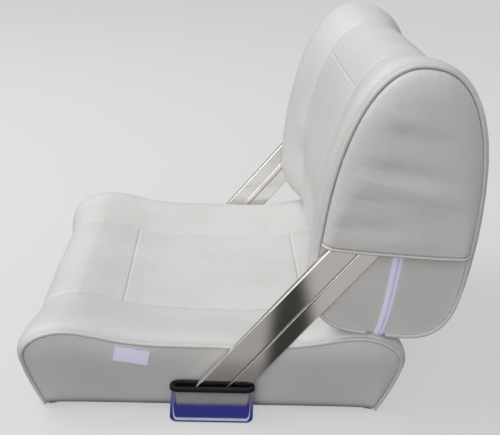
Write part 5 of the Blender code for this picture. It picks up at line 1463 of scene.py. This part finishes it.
TEE_NUT = chamfered([(0.0028, 0.0032), (0.0039, 0.0032), (0.0039, 0.0103), (0.0095, 0.0103),
                     (0.0095, 0.0117), (0.0028, 0.0117)], 0.0002)
SCREW_X, SCREW_Y, BLOCK_X, BLOCK_BOLT_Z, MOUNT = (0.164, 0.206), 0.032, 0.210, 0.0255, 0.0635
ENDS = (("front", -1), ("rear", 1))

turned("cross_bar", "cross_shaft", STEEL, "arms", ARM_END, SHAFT, ring=True)
for label, sign in SIDES:
    for name, node, stuff, body, place, ring, profile in PIVOTS:
        turned(name + label, node + label, stuff, body, place, profile, sign, ring=ring)
    for column, x in zip(("inner", "outer"), SCREW_X):
        for end, way in ENDS:
            tail = "_".join(("screw", label, end, column))
            turned("flange_" + tail, "bracket_" + tail, STEEL, "seat", (x, way * SCREW_Y, 0),
                   WOOD_SCREW, sign, "Z", sides=28)
    for level, way in (("upper", 1), ("lower", -1)):
        for kind, profile in (("bolt_", HEX_BOLT), ("nut_", HEX_NUT)):
            tail = kind + label + "_" + level
            turned("clamp_" + tail, "block_" + tail, STEEL, "back",
                   (BLOCK_X, 0, way * BLOCK_BOLT_Z), profile, sign, "Y", kind == "nut_", 36)
    for end, way in ENDS:
        tail = "nut_" + end + "_" + label
        turned("mount_" + tail, "tee_" + tail, STEEL, "seat", (MOUNT, way * MOUNT, 0), TEE_NUT,
               sign, "Z", True)
print("hardware", len(SIDES) * (len(PIVOTS) + 4 + 4 + 2) + 1, "pieces")

# %% [markdown]
# ## Boards, blocks and foam
#
# These CAD solids already have the right shape and are only seen from below or through an
# opening. The boards and blocks get broken edges on a merged copy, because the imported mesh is
# loose triangles. The seat's foam stays as it is and only gets its finish. The back's two foam
# halves are copies that are drawn in with the skin, where the cushion has its waist.

# %% Copies with broken edges
BOARD_ROLL, BOARD_RIM, WAIST_SHARE = 0.0085, 0.02, 0.19


def dressed(node, name, material, body, node_slot, edge=0.0006, rolled=0.0):
    """A merged copy of a CAD node, its sharp edges bevelled and its lowest rim rolled if asked."""
    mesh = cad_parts[node].data.copy()
    mesh.materials.clear()
    shape = bmesh.new()
    shape.from_mesh(mesh)
    bmesh.ops.remove_doubles(shape, verts=shape.verts, dist=0.00001)
    bmesh.ops.dissolve_limit(shape, angle_limit=math.radians(1), verts=shape.verts,
                             edges=shape.edges)
    if rolled:
        reach = np.abs(np.array([corner.co for corner in shape.verts])).max(axis=0)
        outer = [line for line in shape.edges if all(
            corner.co.z < 0.001 and (abs(corner.co.x) > reach[0] - BOARD_RIM
                                     or abs(corner.co.y) > reach[1] - BOARD_RIM)
            for corner in line.verts)]
        bmesh.ops.bevel(shape, geom=outer, offset=rolled, offset_type="OFFSET", segments=5,
                        profile=0.5, affect="EDGES", clamp_overlap=True)
    shape.to_mesh(mesh)
    shape.free()
    piece = link(name, mesh, material, body, node_slot, node, crisp=30)
    bevel = piece.modifiers.new("broken edges", "BEVEL")
    bevel.width = edge
    bevel.segments = 2
    bevel.limit_method = "ANGLE"
    bevel.angle_limit = math.radians(50)
    return piece


dressed("seat_board", "base_board", board_wood, "seat", "plywood", rolled=BOARD_ROLL)
for level in ("upper", "lower"):
    dressed("back_board_" + level, "core_board_" + level, core_wood, "back", "plywood")
for label, sign in SIDES:
    dressed("bearing_block_" + label, "shaft_block_" + label, nylon, "back", "nylon")
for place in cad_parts["seat_foam"].material_slots:
    place.material = foam


def slimmed(points):
    """Foam points drawn in with the skin, low on the front and rear faces."""
    local = (points - SHAFT_PLACE) @ about_x(-BACK_TILT)
    inner = np.clip((BACK_HALF_WIDTH - 0.005 - np.abs(local[:, 0])) / 0.09, 0, 1)
    local[:, 1] *= 1 - WAIST_SHARE * eased((-local[:, 2] - 0.01) / 0.07) * inner
    return on_back(local)


for side in ("front", "rear"):
    piece = dressed("back_foam_" + side, "cushion_foam_" + side, foam, "back", "foam", 0.0001)
    corners = np.zeros(len(piece.data.vertices) * 3)
    piece.data.vertices.foreach_get("co", corners)
    piece.data.vertices.foreach_set("co", slimmed(corners.reshape(-1, 3)).ravel())
    piece.data.update()
print("boards, blocks and foam dressed")

# %% [markdown]
# ## Studio
#
# Two soft lights stand over the front of the seat, three broad ones shine from far away, and the
# world is even. The camera sees the world as the same pale grey as the floor. Polished metal
# shows its surroundings, so the floor has a second look for mirror rays only, the same to the
# left and right. Close beside each bracket lie a white line, a blue strip and a grey one.
# Further out the tone is a plain grey with a dark sector, whose edges run away from the mirrored
# camera: a point of the arm's face sees the part of the floor that its own direction points to.

# %% Floor
FLOOR_TONE, FLOOR_BOUNCE, BACKDROP = (228, 228, 228), (50, 47, 46), (226, 226, 226)
EVEN_SHARE, FLOOR_HALF = 0.6, 6
FAR_STOPS = ((0.345, (118, 116, 113)), (0.360, (122, 120, 117)), (0.390, (135, 132, 129)),
             (0.410, (152, 149, 145)), (0.430, (167, 164, 160)), (0.470, (169, 166, 162)))
BLUE, GREY, WHITE = (64, 67, 148), (158, 156, 152), (222, 222, 238)
NEAR_STOPS = ((0.508, BLUE), (0.5095, WHITE), (0.5215, WHITE), (0.5235, BLUE), (0.579, BLUE),
              (0.597, GREY))


def floor_finish():
    """Pale to the eye, dark as a bounce light, and patterned for mirror rays."""
    made = Finish("studio_floor", tone(*FLOOR_TONE), 0.9)
    seen = made.ray_is("Camera")
    made.set("Base Color", made.blend(seen, tone(*FLOOR_BOUNCE), tone(*FLOOR_TONE)))
    x, y = made.parts(made.place())[:2]
    x = abs(x)
    beyond = y.smooth(0.141, 0.169)
    sector = (y - x * 0.112).smooth(0.0165, 0.0402) * (1 - beyond)
    far = made.blend(beyond, made.ramp(x, FAR_STOPS), tone(188, 184, 180))
    far = made.blend(sector, far, tone(58, 58, 56))
    far = made.blend(x.smooth(1.3, 2.6), far, tone(70, 70, 72))
    near = made.ramp(x * 2.0 - 0.05, NEAR_STOPS)
    near = made.blend(abs(y).smooth(0.075, 0.095), near, tone(116, 116, 142))
    pattern = made.blend(1 - x.smooth(0.335, 0.350), far, near)
    mirrored_look = made.node("ShaderNodeEmission", {}, {"Color": pattern})
    even = made.node("ShaderNodeEmission", {}, {"Color": tone(*BACKDROP)})
    lit = Value(made, made.shader.outputs[0])
    plain = made.node("ShaderNodeMixShader", {}, {0: seen * EVEN_SHARE, 1: lit, 2: even})
    made.put(made.tree.nodes["Material Output"].inputs["Surface"],
             made.node("ShaderNodeMixShader", {}, {0: made.ray_is("Glossy"), 1: plain,
                                                   2: mirrored_look}))
    return made.material


floor_level = cad_box[0][2]
floor_mesh = bpy.data.meshes.new("studio_floor")
floor_mesh.from_pydata([(x * FLOOR_HALF, y * FLOOR_HALF, floor_level)
                        for x, y in ((-1, -1), (1, -1), (1, 1), (-1, 1))], [], [(0, 1, 2, 3)])
floor = bpy.data.objects.new("studio_floor", floor_mesh)
bpy.context.scene.collection.objects.link(floor)
floor_mesh.materials.append(floor_finish())
print("floor at", round(1000 * floor_level, 1), "mm")

# %% [markdown]
# The world shines evenly on the vinyl, while mirror rays see it brighten with height. The lamps'
# table gives a place for the two soft lights, and a direction for the three from far away.

# %% World and lights
SKY_LIGHT, SKY_LOW, SKY_HIGH = 0.28, (0.06, 0.16), (0.34, 0.9)
AIM, LAMP_WIDTH, FAR_SPREAD = Vector((0, 0, 0.2)), 1.6, math.radians(35)
PLAIN, WARM = (1, 1, 1), (1.0, 0.97, 0.955)
LAMPS = (("key", "AREA", (-0.9, -1.7, 2.6), 35, PLAIN),
         ("front", "AREA", (0.3, -1.9, 2.4), 20, PLAIN),
         ("camera_side", "SUN", (2.7, -0.9, 0.6), 0.825, WARM),
         ("overhead_side", "SUN", (2.4, 0.0, 1.8), 0.36, PLAIN),
         ("rear_fill", "SUN", (-1.2, 2.2, 0.1), 0.60, PLAIN))

world = bpy.data.worlds.new("studio")
bpy.context.scene.world = world
sky = Nodes(world)
height = sky.parts(sky.place("Generated"))[2]
mirrored_sky = sky.map_range({"Value": height, "From Min": SKY_LOW[0], "From Max": SKY_HIGH[0],
                              "To Min": SKY_LOW[1], "To Max": SKY_HIGH[1]})
strength = sky.map_range({"Value": sky.ray_is("Glossy"), "To Min": SKY_LIGHT,
                          "To Max": mirrored_sky}, "LINEAR")
strength = sky.map_range({"Value": sky.ray_is("Camera"), "To Min": strength,
                          "To Max": tone(*BACKDROP)[0]}, "LINEAR")
background = sky.tree.nodes["Background"]
sky.put(background.inputs["Color"], (1, 1, 1, 1))
sky.put(background.inputs["Strength"], strength)

for name, kind, place, power, colour in LAMPS:
    data = bpy.data.lights.new(name, kind)
    data.energy, data.color = power, colour
    lamp = bpy.data.objects.new(name, data)
    if kind == "AREA":
        data.size, lamp.location = LAMP_WIDTH, place
        lamp.rotation_euler = (AIM - Vector(place)).to_track_quat("-Z", "Y").to_euler()
    else:
        data.angle = FAR_SPREAD
        lamp.rotation_euler = Vector(place).to_track_quat("Z", "Y").to_euler()
    bpy.context.scene.collection.objects.link(lamp)
print("lights", [row[0] for row in LAMPS])
bpy.context.scene.view_settings.view_transform = "Standard"
